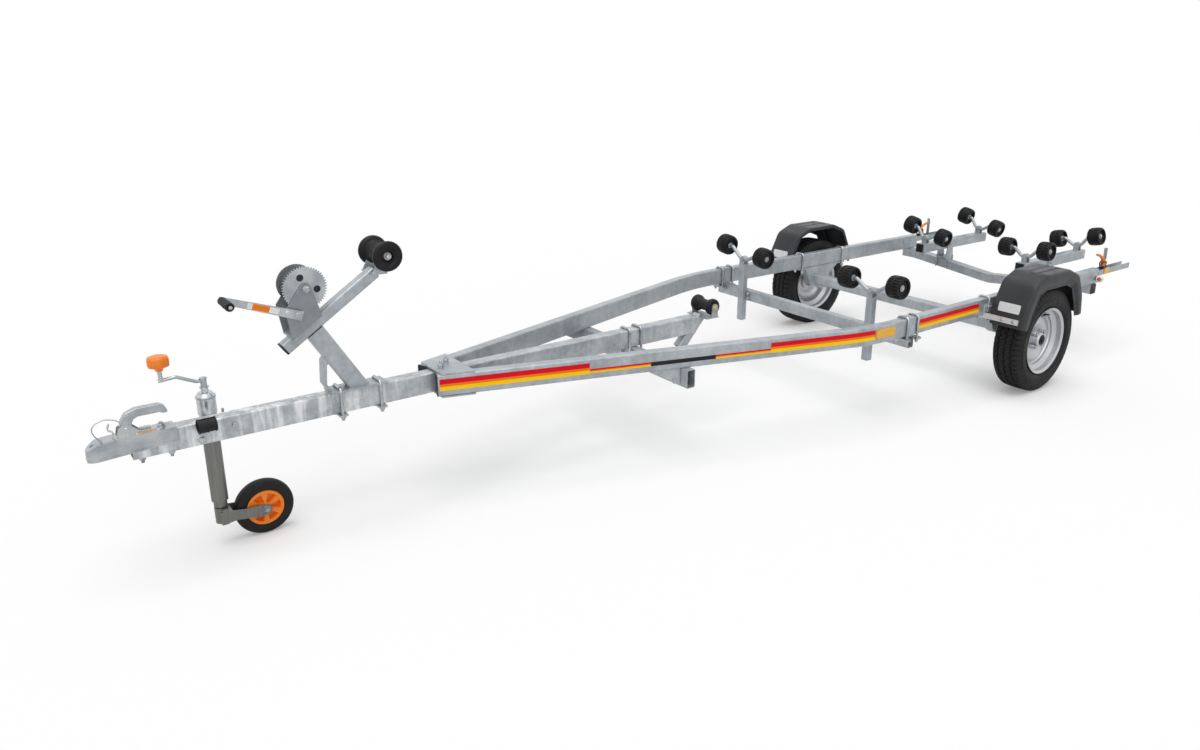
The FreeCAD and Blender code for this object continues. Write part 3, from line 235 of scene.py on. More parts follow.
def block(x0, x1, y0, y1, z0, z1):
    """A block between two corners."""
    return plate(rectangle(y0, y1, z0, z1), 0, x0, x1)


def round_corners(points, radius):
    """A flat outline with its corners rounded by tangent arcs."""
    flat = [np.array([p[0], p[1], 0.0]) for p in points]
    ring = [(flat[-1] + flat[0]) / 2] + flat + [(flat[-1] + flat[0]) / 2]
    return smooth_path(ring, radius, 4)[:-1, :2]


def rectangle(x0, x1, y0, y1, radius=0.0):
    """A flat rectangle between two corners, with round corners where a radius is given."""
    corners = [(x0, y0), (x1, y0), (x1, y1), (x0, y1)]
    return round_corners(corners, radius) if radius else corners


def mirrored(profile):
    """One half of an outline that is turned round, followed by its mirror image."""
    return profile + [(r, -y) for r, y in profile[::-1]]


def middle_of(box):
    """The middle of a box as numpy numbers."""
    low, high = box
    return (np.array(low) + np.array(high)) / 2


def side_name(side):
    """The side's name: left for 1 and right for -1."""
    return "left" if side > 0 else "right"


def moved(shape, turn=None, shift=(0, 0, 0), about=(0, 0, 0)):
    """A shape turned by a matrix about a point, then shifted."""
    verts, faces = shape
    about = np.array(about, float)
    if turn is not None:
        verts = (verts - about) @ np.array(turn.to_3x3()).T + about
    return verts + np.array(shift, float), faces


def turn_about(axis, degrees):
    """A rotation matrix about a named axis."""
    return Matrix.Rotation(math.radians(degrees), 4, axis)


def other_side(shape):
    """The same shape mirrored to the trailer's other side, its faces turned back out."""
    verts, faces = shape
    return verts * np.array([1, -1, 1]), [f[::-1] for f in faces]


def both_sides(shapes):
    """Shapes of the left side with their mirror images."""
    return shapes + [other_side(s) for s in shapes]


def hexagon_head(centre, direction, across, height):
    """A hexagon nut or bolt head with a chamfered rim, its base at centre."""
    r = across / math.sqrt(3)
    profile = [(r, 0), (r, height * 0.78), (r * 0.86, height)]
    return lathe(profile, centre, direction, 6)


def bolt(centre, direction, across=0.017, head=0.010, thread=0.0, washer=True):
    """A hexagon head on its washer, and a thread end that stands out of it."""
    d = np.array(direction, float)
    d = d / np.linalg.norm(d)
    centre = np.array(centre, float)
    parts = []
    if washer:
        parts.append(lathe([(across * 0.72, 0), (across * 0.72, 0.0018), (across * 0.66, 0.0022)],
                           centre, direction, 24))
        centre = centre + d * 0.0022
    parts.append(hexagon_head(centre, direction, across, head))
    if thread:
        r = across * 0.29
        ribs = [(r * (1.0 if i % 2 else 0.88), head + thread * i / 12) for i in range(12)]
        parts.append(lathe([(r, head * 0.5)] + ribs + [(r * 0.75, head + thread)], centre, direction, 16))
    return parts


def tube_plug(centre, direction, wide, high, thick=0.004):
    """A plastic plug over a tube's end: a flat cap with round corners, its rim a little smaller."""
    flat = rectangle(-wide / 2, wide / 2, -high / 2, high / 2, 0.005)
    d = np.array(direction, float) / np.linalg.norm(direction)
    middle = np.array(centre, float)
    shrink = 1 - 0.0016 / (min(wide, high) / 2)
    profile = [flat, flat, flat * shrink]
    path = [middle - d * 0.0002, middle + d * thick * 0.7, middle + d * thick]
    return carried(np.array(profile), path)


def piece(name, shapes, finish, body, bevel=0.0, angle=35):
    """Puts shapes into one mesh that rides on a body, with smooth shading under an angle."""
    verts = []
    faces = []
    count = 0
    for points, polygons in shapes:
        verts.append(points)
        faces += [[i + count for i in polygon] for polygon in polygons]
        count += len(points)
    mesh = bpy.data.meshes.new(name)
    mesh.from_pydata(np.vstack(verts).tolist(), [], faces)
    mesh.polygons.foreach_set("use_smooth", np.ones(len(mesh.polygons), bool))
    mesh.set_sharp_from_angle(angle=math.radians(angle))
    mesh.materials.append(finish)
    mesh.update()
    thing = bpy.data.objects.new(name, mesh)
    bpy.context.scene.collection.objects.link(thing)
    if bevel:
        edges = thing.modifiers.new("edges", "BEVEL")
        edges.width = bevel
        edges.segments = 2
        edges.limit_method = "ANGLE"
        edges.angle_limit = math.radians(40)
    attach(thing, body)
    return thing


# Finishes

def put(tree, socket, value):
    """Sets a socket to a constant, or links it from an output."""
    if isinstance(value, bpy.types.NodeSocket):
        tree.links.new(value, socket)
    else:
        socket.default_value = value


def add_node(tree, kind, *inputs, **named):
    """A new node with its inputs set or linked, the first ones by place and the others by name."""
    node = tree.nodes.new("ShaderNode" + kind)
    for index, value in enumerate(inputs):
        put(tree, node.inputs[index], value)
    for name, value in named.items():
        put(tree, node.inputs[name.replace("_", " ")], value)
    return node


class Finish:
    """A material whose nodes are added and joined in few words."""

    def __init__(self, name):
        self.material = bpy.data.materials.new(name)
        self.material.use_nodes = True
        self.tree = self.material.node_tree
        self.shader = self.tree.nodes["Principled BSDF"]
        self.place = self.tree.nodes.new("ShaderNodeTexCoord").outputs["Object"]

    def node(self, kind, *inputs, **named):
        """A new node of this material."""
        return add_node(self.tree, kind, *inputs, **named)

    def stretched(self, x, y, z):
        """Object coordinates scaled along each axis."""
        return self.node("Mapping", Vector=self.place, Scale=(x, y, z)).outputs["Vector"]

    def noise(self, scale, detail=3.0, rough=0.5, vector=None):
        """A cloud pattern between 0 and 1."""
        node = self.node("TexNoise", Vector=vector or self.place, Scale=scale, Detail=detail,
                         Roughness=rough)
        return node.outputs["Fac"]

    def cells(self, scale, vector=None):
        """A random grey for each crystal of a cell pattern."""
        node = self.node("TexVoronoi", Vector=vector or self.place, Scale=scale)
        grey = self.node("SeparateColor", Color=node.outputs["Color"])
        return grey.outputs["Red"]

    def band(self, value, low, high, bottom=0.0, top=1.0):
        """A value brought from low..high to bottom..top, and held there beyond."""
        node = self.node("MapRange", value, low, high, bottom, top)
        return node.outputs["Result"]

    def blend(self, share, first, second):
        """A colour between two colours."""
        node = self.tree.nodes.new("ShaderNodeMix")
        node.data_type = "RGBA"
        put(self.tree, node.inputs[0], share)
        for index, colour in ((6, first), (7, second)):
            put(self.tree, node.inputs[index], (*colour, 1.0) if isinstance(colour, tuple) else colour)
        return node.outputs[2]

    def sum_of(self, first, second, kind="ADD"):
        """Two values added, or joined by another kind of sum."""
        node = self.node("Math", first, second)
        node.operation = kind
        return node.outputs[0]

    def dents(self, height, strength, distance):
        """Small relief from a value."""
        node = self.node("Bump", Height=height, Strength=strength, Distance=distance)
        put(self.tree, self.shader.inputs["Normal"], node.outputs["Normal"])

    def surface(self, colour, rough, metal=0.0, coat=0.0, shine=0.5):
        """Sets the shader's own sockets: colour and roughness from nodes, the rest to constants."""
        put(self.tree, self.shader.inputs["Base Color"], colour)
        put(self.tree, self.shader.inputs["Roughness"], rough)
        self.shader.inputs["Metallic"].default_value = metal
        self.shader.inputs["Specular IOR Level"].default_value = shine
        if coat:
            self.shader.inputs["Coat Weight"].default_value = coat
            self.shader.inputs["Coat Roughness"].default_value = 0.15
        return self.material


def galvanised_steel(name, dark, pale, runs, runs_from=None):
    """Hot-dipped zinc: pale crystals, cloudy patches, and the runs where the dip drained.

    runs is their strength, and they fade out behind the place runs_from along X where it is given.
    """
    f = Finish(name)
    clouds = f.noise(6.0, 4.0, 0.6)
    crystals = f.cells(70.0)
    fine = f.noise(38.0, 5.0, 0.7)
    drips = f.noise(1.0, 3.0, 0.6, f.stretched(30.0, 30.0, 3.0))
    shade = f.sum_of(f.sum_of(f.band(clouds, 0.32, 0.68), 0.40, "MULTIPLY"),
                     f.sum_of(crystals, 0.10, "MULTIPLY"))
    shade = f.sum_of(shade, f.sum_of(f.band(fine, 0.35, 0.70), 0.30, "MULTIPLY"))
    if runs_from is not None:
        place = f.node("SeparateXYZ", Vector=f.place).outputs["X"]
        runs = f.band(place, runs_from, runs_from + 0.5, 0.12, runs)
    shade = f.sum_of(shade, f.sum_of(f.band(drips, 0.46, 0.66), runs, "MULTIPLY"))
    colour = f.blend(shade, dark, pale)
    rough = f.sum_of(f.band(fine, 0.3, 0.7, 0.30, 0.42), f.sum_of(crystals, 0.06, "MULTIPLY"))
    f.dents(f.noise(55.0, 3.0), 0.10, 0.0006)
    return f.surface(colour, rough, 0.5)


def plated_steel(name, dark, pale, patches, spread, grain, gloss, metal):
    """Plated steel: soft patches between two colours, and a gloss that varies a touch.

    patches are a cloud pattern's scale and detail, spread the values that reach each colour.
    """
    f = Finish(name)
    colour = f.blend(f.band(f.noise(*patches), *spread), dark, pale)
    return f.surface(colour, f.band(f.noise(grain, 2.0), 0.3, 0.7, *gloss), metal)


def moulded_plastic(name, dark, pale, low, high, grain=900.0, relief=0.25, shine=0.5):
    """Moulded plastic with a fine grain and a slightly uneven gloss."""
    f = Finish(name)
    colour = f.blend(f.band(f.noise(9.0, 3.0), 0.3, 0.7), dark, pale)
    rough = f.band(f.noise(26.0, 3.0), 0.3, 0.7, low, high)
    f.dents(f.noise(grain, 2.0), relief, 0.0002)
    return f.surface(colour, rough, shine=shine)


def rubber(name, dark, pale, low=0.45, high=0.66):
    """Black rubber, a little dusty in patches, with a fine skin."""
    f = Finish(name)
    dust = f.band(f.noise(14.0, 5.0, 0.65), 0.35, 0.75)
    colour = f.blend(dust, dark, pale)
    rough = f.band(f.noise(40.0, 3.0), 0.3, 0.7, low, high)
    f.dents(f.noise(420.0, 3.0), 0.2, 0.0003)
    return f.surface(colour, rough, shine=0.22)


def silver_paint():
    """Silver wheel paint with a fine flake."""
    f = Finish("silver_paint")
    flake = f.cells(1400.0)
    colour = f.blend(f.band(flake, 0.0, 1.0), (0.50, 0.51, 0.53), (0.62, 0.63, 0.65))
    rough = f.band(f.noise(30.0, 3.0), 0.3, 0.7, 0.30, 0.40)
    return f.surface(colour, rough, 0.75, 0.2)


ZINC_EDGE = (0.410, 0.430)


def drawn_grey(f):
    """Dull grey with faint marks that run up and down."""
    marks = f.noise(1.0, 3.0, 0.5, f.stretched(120.0, 120.0, 6.0))
    return f.blend(f.band(marks, 0.3, 0.7), (0.17, 0.17, 0.155), (0.23, 0.23, 0.215))


def jockey_steel():
    """The jockey wheel's tube: bright zinc above the drawbar, dull grey below it."""
    f = Finish("jockey_tube_steel")
    height = f.node("SeparateXYZ", Vector=f.place).outputs["Z"]
    bright = f.blend(f.band(f.noise(28.0, 3.0), 0.35, 0.65), (0.46, 0.51, 0.56), (0.70, 0.71, 0.69))
    colour = f.blend(f.band(height, *ZINC_EDGE), drawn_grey(f), bright)
    rough = f.band(height, *ZINC_EDGE, 0.42, 0.24)
    return f.surface(colour, rough, 0.8)


def raw_grey_steel():
    """Dull grey steel of the jockey wheel's leg and fork."""
    f = Finish("raw_grey_steel")
    return f.surface(drawn_grey(f), f.band(f.noise(22.0, 3.0), 0.3, 0.7, 0.36, 0.50), 0.8)


def foil(name, colour, edge):
    """Printed foil, a flat strong colour that varies a touch, under a thin clear film."""
    f = Finish(name)
    shade = f.blend(f.band(f.noise(5.0, 2.0), 0.3, 0.7), colour, edge)
    f.dents(f.noise(160.0, 2.0), 0.04, 0.0002)
    return f.surface(shade, f.band(f.noise(40.0, 2.0), 0.3, 0.7, 0.34, 0.44), shine=0.15)


def prism_reflector(name, colour, deep):
    """A reflector: a grid of small cells under a clear face."""
    f = Finish(name)
    cells = f.cells(420.0)
    shade = f.blend(f.band(cells, 0.0, 1.0), deep, colour)
    f.dents(cells, 0.1, 0.0003)
    return f.surface(shade, f.band(cells, 0.0, 1.0, 0.16, 0.26), 0.0, 0.5)


def woven_webbing():
    """Grey webbing: fine ribs across and along."""
    f = Finish("woven_webbing")
    ribs = f.node("TexWave", Vector=f.place, Scale=140.0, Distortion=0.6)
    ribs.bands_direction = "Y"
    colour = f.blend(ribs.outputs["Fac"], (0.055, 0.057, 0.066), (0.12, 0.125, 0.14))
    f.dents(ribs.outputs["Fac"], 0.4, 0.0008)
    return f.surface(colour, f.band(f.noise(60.0, 2.0), 0.3, 0.7, 0.72, 0.86))


GALVANISED = galvanised_steel("galvanised_steel", (0.27, 0.305, 0.33), (0.62, 0.655, 0.68), 0.12)
STREAKED = galvanised_steel("galvanised_with_runs", (0.23, 0.265, 0.29), (0.80, 0.82, 0.835), 0.70,
                            runs_from=AXLE + 2.95)
PLATE_STEEL = galvanised_steel("winch_plate_steel", (0.20, 0.225, 0.24), (0.36, 0.385, 0.40), 0.06)
ZINC = plated_steel("bright_zinc", (0.37, 0.405, 0.44), (0.56, 0.58, 0.585), (14.0, 2.0), (0.35, 0.65), 90.0,
                    (0.20, 0.34), 0.85)
BLACK = moulded_plastic("black_plastic", (0.008, 0.008, 0.009), (0.016, 0.016, 0.018), 0.38, 0.52,
                        shine=0.25)
FENDER = moulded_plastic("fender_plastic", (0.024, 0.026, 0.030), (0.036, 0.038, 0.043), 0.34, 0.46,
                         700.0, 0.18, 0.34)
ORANGE = moulded_plastic("orange_plastic", (0.88, 0.20, 0.008), (0.96, 0.26, 0.012), 0.26, 0.36, 500.0, 0.1)
ROLLER = rubber("roller_rubber", (0.006, 0.006, 0.007), (0.014, 0.014, 0.016), 0.36, 0.52)
TYRE = rubber("tyre_rubber", (0.008, 0.008, 0.009), (0.020, 0.020, 0.021))
SILVER = silver_paint()
GREY_STEEL = raw_grey_steel()
JOCKEY_STEEL = jockey_steel()
WEBBING = woven_webbing()
RED_FOIL = foil("red_foil", (0.70, 0.001, 0.012), (0.74, 0.002, 0.018))
ORANGE_FOIL = foil("orange_foil", (0.90, 0.19, 0.004), (0.94, 0.22, 0.006))
YELLOW_FOIL = foil("yellow_foil", (0.98, 0.60, 0.004), (1.0, 0.64, 0.006))
BLACK_FOIL = foil("black_foil", (0.014, 0.014, 0.015), (0.024, 0.024, 0.025))
WHITE_FOIL = foil("white_foil", (0.80, 0.80, 0.80), (0.86, 0.86, 0.86))
TAN_FOIL = foil("tan_foil", (0.62, 0.36, 0.18), (0.68, 0.44, 0.24))
AMBER = prism_reflector("amber_reflector", (0.90, 0.50, 0.012), (0.78, 0.36, 0.008))
WHITE_REFLECTOR = prism_reflector("white_reflector", (0.82, 0.84, 0.84), (0.62, 0.65, 0.66))
BLACK_STEEL = plated_steel("dark_steel", (0.02, 0.02, 0.022), (0.045, 0.045, 0.05), (60.0, 2.0), (0.3, 0.7),
                           40.0, (0.30, 0.42), 0.6)
YELLOW_ZINC = plated_steel("yellow_zinc", (0.58, 0.46, 0.20), (0.66, 0.60, 0.44), (60.0, 3.0), (0.3, 0.7),
                           40.0, (0.22, 0.34), 0.85)
WHITE_LENS = moulded_plastic("white_lens", (0.74, 0.75, 0.75), (0.82, 0.83, 0.83), 0.18, 0.28, 300.0, 0.05)
LAMP = prism_reflector("lamp_lens", (0.86, 0.12, 0.03), (0.62, 0.05, 0.012))
ALUMINIUM = galvanised_steel("bare_aluminium", (0.60, 0.61, 0.62), (0.80, 0.81, 0.82), 0.05)

CAD_FINISH = {
    "galvanised": GALVANISED,
    "zinc_plated": ZINC,
    "black_plastic": BLACK,
    "fender_plastic": FENDER,
    "roller_rubber": ROLLER,
    "tyre_rubber": TYRE,
    "rim_silver": SILVER,
    "orange_plastic": ORANGE,
    "webbing": WEBBING,
    "grey_steel": GREY_STEEL,
    "lamp_lens": LAMP,
}
NODE_FINISH = {"drawbar": STREAKED, "coupler": ZINC, "fender_bars": ALUMINIUM, "jockey_tube": JOCKEY_STEEL,
               "jockey_fork": GREY_STEEL, "jockey_leg": GREY_STEEL, "jockey_crank": ZINC, "winch_drum": ZINC,
               "winch_frame": PLATE_STEEL}


def smooth_edges():
    """A node group that merges loose corners and keeps only edges over 32 degrees sharp."""
    group = bpy.data.node_groups.new("smooth_edges", "GeometryNodeTree")
    group.interface.new_socket("Geometry", in_out="INPUT", socket_type="NodeSocketGeometry")
    group.interface.new_socket("Geometry", in_out="OUTPUT", socket_type="NodeSocketGeometry")
    add = group.nodes.new
    start = add("NodeGroupInput")
    stop = add("NodeGroupOutput")
    merge = add("GeometryNodeMergeByDistance")
    merge.inputs["Distance"].default_value = 0.00001
    faces = add("GeometryNodeSetShadeSmooth")
    edges = add("GeometryNodeSetShadeSmooth")
    edges.domain = "EDGE"
    angle = add("GeometryNodeInputMeshEdgeAngle")
    under = add("FunctionNodeCompare")
    under.data_type = "FLOAT"
    under.operation = "LESS_THAN"
    under.inputs[1].default_value = math.radians(32)
    link = group.links.new
    link(start.outputs[0], merge.inputs["Geometry"])
    link(merge.outputs[0], faces.inputs["Geometry"])
    link(faces.outputs[0], edges.inputs["Geometry"])
    link(angle.outputs["Unsigned Angle"], under.inputs[0])
    link(under.outputs[0], edges.inputs["Shade Smooth"])
    link(edges.outputs[0], stop.inputs[0])
    return group


def dress_frame():
    """Gives every CAD node its finish and smooth shading over its flat edges."""
    group = smooth_edges()
    slots = {}
    for entry in frame["record"].get("materials", []):
        for node in entry.get("nodes", []):
            slots[node] = entry.get("slot")
    for name, thing in frame["nodes"].items():
        own = thing.data.materials[0].name.split(".")[0] if thing.data.materials else ""
        key = slots.get(name) or own
        finish = NODE_FINISH.get(name) or CAD_FINISH.get(key, GALVANISED)
        thing.data.materials.clear()
        thing.data.materials.append(finish)
        shading = thing.modifiers.new("smooth_edges", "NODES")
        shading.node_group = group


dress_frame()


# Frame: stripes, clamp bands, U-bolts and bolts

def beam_face(x):
    """The left side beam's outer face, y at x: straight, then an arc, then the slanted run."""
    x = np.asarray(x, float)
    tangent = BEND_R * math.tan(BEND / 2)
    start = BEND_X - tangent
    stop = BEND_X + tangent * math.cos(BEND)
    arc = BEAM_Y - BEND_R + np.sqrt(np.maximum(BEND_R ** 2 - np.clip(x - start, 0, 0.6) ** 2, 0))
    slant = BEAM_Y - (x - BEND_X) * math.tan(BEND)
    return np.where(x < start, BEAM_Y, np.where(x < stop, arc, slant))


def strip_on_beam(x0, x1, low, high, thick=0.0008):
    """A thin strip that lies on the beam's outer face from x0 to x1, low to high."""
    count = max(2, int(abs(x1 - x0) / 0.02))
    x = np.linspace(ahead(x0), ahead(x1), count)
    path = np.stack([x, beam_face(x), np.full(count, (low + high) / 2)], 1)
    half = (high - low) / 2
    sign = 1 if x1 > x0 else -1
    return carried(rectangle(-0.0001 * sign, thick * sign, -half, half), path)


WIDE = ((0.483, 0.4635, RED_FOIL), (0.4635, 0.4535, ORANGE_FOIL), (0.4535, 0.438, YELLOW_FOIL))
THIN = ((0.4575, 0.4515, RED_FOIL), (0.4515, 0.4475, ORANGE_FOIL), (0.4475, 0.4405, YELLOW_FOIL))
STRIPES = ((3.010, 2.445, WIDE), (2.445, 2.195, THIN), (1.915, 1.665, THIN), (1.665, 1.145, WIDE),
           (0.850, 0.340, WIDE))
BLACK_RUN = (2.195, 1.915, 0.4405, 0.4575)
SIDE_REFLECTOR = (1.140, 1.022, 0.441, 0.482, 0.004)
CROSS_TUBE_X = 0.891
CROSS_TUBE_BOLTS_X = (0.853, 0.929)
AXLE_BOLTS_X = (-0.105, 0.262)
STAND_BOLTS_X = (3.363, 3.217)
FRONT_CROSS_BOLTS_X = (2.012, 2.074)


def beam_stripes():
    """Red, orange and yellow foil along both side beams, with a plain black run."""
    shapes = {}
    for x0, x1, bands in STRIPES:
        for top, bottom, finish in bands:
            shapes.setdefault(finish, []).append(strip_on_beam(x0, x1, bottom, top))
    shapes[BLACK_FOIL] = [strip_on_beam(*BLACK_RUN)]
    for finish, runs in shapes.items():
        piece("beam_stripes_" + finish.name, both_sides(runs), finish, "root")
    amber = both_sides([strip_on_beam(*SIDE_REFLECTOR)])
    piece("beam_side_reflectors", amber, AMBER, "root", 0.0012)


def u_bolt(x, y, across, top, bottom, turn=0.0, rod=0.0055, strap=True):
    """A U-bolt over a tube that runs along X: a bent rod, its clamp strap, nuts and thread ends.

    across is the tube's width, top the tube's top, bottom where the strap lies.
    """
    half = across / 2 + rod + 0.0008
    arch = top + rod + 0.0008
    legs = [(0, -half, bottom - 0.024), (0, -half, arch), (0, half, arch), (0, half, bottom - 0.024)]
    shapes = [round_bar(legs, rod, 0.014, 12, (1, 0, 0))]
    if strap:
        outline = rectangle(-0.016, 0.016, -half - 0.017, half + 0.017, 0.006)
        shapes.append(plate(outline, 2, bottom - 0.006, bottom))
    for side in (-1, 1):
        shapes += bolt((0, side * half, bottom - 0.006), (0, 0, -1), 0.017, 0.009)
    spin = turn_about("Z", turn)
    return [moved(s, spin, (x, y, 0)) for s in shapes]


def beam_centre(x):
    """The middle of the left side beam at x, and its turn in degrees."""
    y = float(beam_face(x))
    slope = (float(beam_face(x + 0.01)) - float(beam_face(x - 0.01))) / 0.02
    turn = math.atan(slope)
    return y - BEAM_W / 2 / math.cos(turn), math.degrees(turn)


def beam_u_bolts():
    """Clamp bands and U-bolts that hold the roller crossmember and the axle to the side beams."""
    shapes = []
    for x in CROSS_TUBE_BOLTS_X:
        y, turn = beam_centre(ahead(x))
        shapes += u_bolt(ahead(x), y, BEAM_W, BEAM_TOP, 0.402, turn)
        ledge = block(ahead(x) - 0.014, ahead(x) + 0.014, y - 0.040, y + 0.040, 0.4022, 0.4062)
        shapes.append(moved(ledge, turn_about("Z", turn), (0, 0, 0), (ahead(x), y, 0)))
    y, turn = beam_centre(ahead(CROSS_TUBE_X))
    band = block(ahead(0.868), ahead(0.914), y - BEAM_W / 2 - 0.0035, y + BEAM_W / 2 + 0.0035,
                 BEAM_BOTTOM + 0.001, BEAM_TOP + 0.0035)
    clamp_band = moved(band, turn_about("Z", turn), (0, 0, 0), (ahead(CROSS_TUBE_X), y, 0))
    piece("beam_clamp_bands", both_sides([clamp_band]), GALVANISED, "root", 0.0015)
    saddle_low = BEAM_BOTTOM - 0.008
    for x in AXLE_BOLTS_X:
        y, turn = beam_centre(ahead(x))
        shapes += u_bolt(ahead(x), y, BEAM_W, BEAM_TOP, saddle_low, turn, strap=False)
    piece("beam_u_bolts", both_sides(shapes), ZINC, "root")


def drawbar_u_bolts():
    """U-bolts round the drawbar: two at the winch stand's base and two on the front crossmember."""
    low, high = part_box("drawbar")
    width = high.y - low.y
    shapes = []
    base_top = high.z + 0.008
    for x in STAND_BOLTS_X:
        shapes += u_bolt(ahead(x), 0, width, base_top, low.z, 0.0, 0.006)
    cross_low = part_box("front_crossmember")[0].z
    for x in FRONT_CROSS_BOLTS_X:
        shapes += u_bolt(ahead(x), 0, width, high.z, cross_low, 0.0)
    piece("drawbar_u_bolts", shapes, ZINC, "root")


def frame_bolts():
    """Bolts through the meeting plates, the drawbar and the coupler."""
    low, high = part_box("meeting_plates")
    mid = (low.x + high.x) / 2
    shapes = []
    for x, y in ((mid + 0.030, 0.020), (mid - 0.012, -0.022)):
        shapes += bolt((x, y, high.z), (0, 0, 1), 0.019, 0.016, 0.012)
        shapes += bolt((x, y, low.z), (0, 0, -1), 0.019, 0.010)
    draw_low, draw_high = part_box("drawbar")
    for x, z in ((3.827, 0.436), (3.724, 0.462)):
        shapes += bolt((ahead(x), draw_high.y, z), (0, 1, 0), 0.019, 0.010)
    for x in (4.000, 3.915):
        shapes += bolt((ahead(x), 0, draw_low.z), (0, 0, -1), 0.019, 0.012, 0.010)
    piece("frame_bolts", shapes, ZINC, "root")


beam_stripes()
beam_u_bolts()
drawbar_u_bolts()
frame_bolts()


# Road wheels

def road_tyre(side):
    """A road tyre: an outline of (radius, along) turned round, with its tread cut by depth.

    Depth is a sum of steps: three grooves round the tread that weave from side to side as a
    sine of the angle, and slots across the shoulders that come at even angles.
    """
    half = TYRE_W / 2
    steps = 720
    bead = 0.167
    wall = [(r, -half + rise) for r, rise in (
        (bead, 0.020), (0.178, 0.017), (0.192, 0.004), (0.205, 0.0015), (0.222, 0), (0.236, 0.002),
        (0.246, 0.006))]
    slots = 60
    slot_share = 0.72
    tread_y = np.linspace(-half + 0.009, half - 0.009, 61)
    share = np.abs(tread_y) / (half - 0.009)
    tread_r = TYRE_R - 0.003 * share ** 2 - 0.016 * np.clip((share - 0.80) / 0.20, 0, 1) ** 2
    outline = wall + list(zip(tread_r, tread_y)) + [(r, -y) for r, y in wall[::-1]]
    inner = [(bead, half - 0.034), (0.206, half - 0.014), (0.250, half - 0.024), (0.261, 0.0),
             (0.250, -half + 0.024), (0.206, -half + 0.014), (bead, -half + 0.034)]
    outline = np.array(outline + inner + [outline[0]])
    first = len(wall)
    last = first + len(tread_y)

    def depth(row, angle):
        inside = (row >= first) & (row < last)
        y = outline[np.minimum(row, len(outline) - 1), 1]
        weave = 0.0022 * np.sign(np.sin(angle * 52))
        cut = np.zeros(np.broadcast(row, angle).shape)
        for line in (-0.034, 0.0, 0.034):
            cut = np.maximum(cut, (np.abs(y - line - weave) < 0.0034) * 0.0065)
        slot = np.sin(angle * slots + np.sign(y) * 0.8) > slot_share
        cut = np.maximum(cut, (slot & (np.abs(y) > 0.047)) * 0.0058)
        sipe = (np.sin(angle * 104 + y * 150) > 0.93) & (np.abs(y) < 0.046)
        cut = np.maximum(cut, sipe * 0.003)
        step = (row == first - 1) | (row == last)
        return -cut * inside - (step & slot) * 0.003

    centre = (AXLE, side * TYRE_Y, TYRE_R)
    shape = lathe(outline, centre, (0, 1, 0), steps, depth)
    name = side_name(side)
    tyre = piece("road_tyre_" + name, [shape], TYRE, "wheel_" + name, angle=28)
    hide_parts("tyre_" + name)
    rings = [lathe([(r, 0), (r + 0.0012, 0.0008), (r + 0.0024, 0), (r + 0.0012, -0.0015), (r, 0)],
                   (AXLE, side * (TYRE_Y + half - drop), TYRE_R), (0, side, 0), 96)
             for r, drop in ((0.196, 0.0030), (0.229, 0.0004))]
    piece("tyre_wall_rings_" + name, rings, TYRE, "wheel_" + name)


def wheel_trim(side):
    """Four bolts, the black dust cap and the valve of one rim."""
    name = side_name(side)
    centre = np.array([AXLE, side * TYRE_Y, TYRE_R])
    out = np.array([0, side, 0.0])
    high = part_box("wheel_left")[1].y - TYRE_Y
    bolts = []
    for step in range(4):
        turn = math.radians(45 + 90 * step)
        place = centre + np.array([0.049 * math.cos(turn), 0, 0.049 * math.sin(turn)]) + out * 0.0295
        bolts.append(lathe([(0.0125, -0.010), (0.0125, 0.001), (0.0105, 0.003)], place, out, 24))
        bolts.append(hexagon_head(place, out, 0.0175, 0.013))
    piece("wheel_bolts_" + name, bolts, ZINC, "wheel_" + name)
    cap_base = min(0.040, high)
    cap = lathe([(0.0275, cap_base - 0.012), (0.0285, cap_base), (0.0275, cap_base + 0.007),
                 (0.0245, cap_base + 0.0105), (0.019, cap_base + 0.0115), (0.018, cap_base + 0.0098),
                 (0.004, cap_base + 0.0098)], centre, out, 48)
    square = plate(rectangle(-0.009, 0.009, -0.009, 0.009, 0.002), 1, 0, 0.004)
    square = moved(square, turn_about("Y", 18), centre + out * (cap_base + 0.0125) - np.array([0, 0.002, 0]))
    piece("hub_cap_" + name, [cap, square], BLACK, "wheel_" + name, 0.0006)
    angle = math.radians(112)
    place = centre + np.array([0.128 * math.cos(angle), 0, 0.128 * math.sin(angle)]) + out * 0.010
    valve = [lathe([(0.0065, -0.004), (0.006, 0.006), (0.0042, 0.014), (0.0042, 0.032), (0.003, 0.034)],
                   place, out * 0.96 + np.array([math.cos(angle), 0, math.sin(angle)]) * 0.28, 16)]
    piece("valve_" + name, valve, BLACK, "wheel_" + name)


for side in (1, -1):
    road_tyre(side)
    wheel_trim(side)


# Rollers

def barrel_roller(centre, direction):
    """A fat hull roller: a barrel outline turned round, with short grooves along both shoulders.

    The grooves are a cut of the radius by the sign of a sine of the angle, within two bands.
    """
    w = 0.036
    r = 0.055
    outer = mirrored([(0.0395, -0.035), (0.043, -w), (0.0475, -w), (0.0505, -0.034), (0.0525, -0.030),
                      (0.0538, -0.025), (0.0545, -0.019), (r, -0.012), (r, -0.006), (r, -0.005)])
    inner = mirrored([(0.0388, 0.030), (0.0382, 0.0225), (0.0370, 0.0212), (0.0104, 0.0210)])
    outline = np.array(outer + inner + [outer[0]])

    def ribs(row, angle):
        on_skin = row < len(outer)
        along = outline[np.minimum(row, len(outline) - 1), 1]
        band = (np.abs(along) > 0.0055) & (np.abs(along) < 0.0338)
        rows = np.where(along > 0, 0.0, np.pi / 22)
        cut = np.sin((angle + rows) * 22) > 0.45
        return on_skin * -0.0040 * band * cut

    return lathe(outline, centre, direction, 192, ribs)


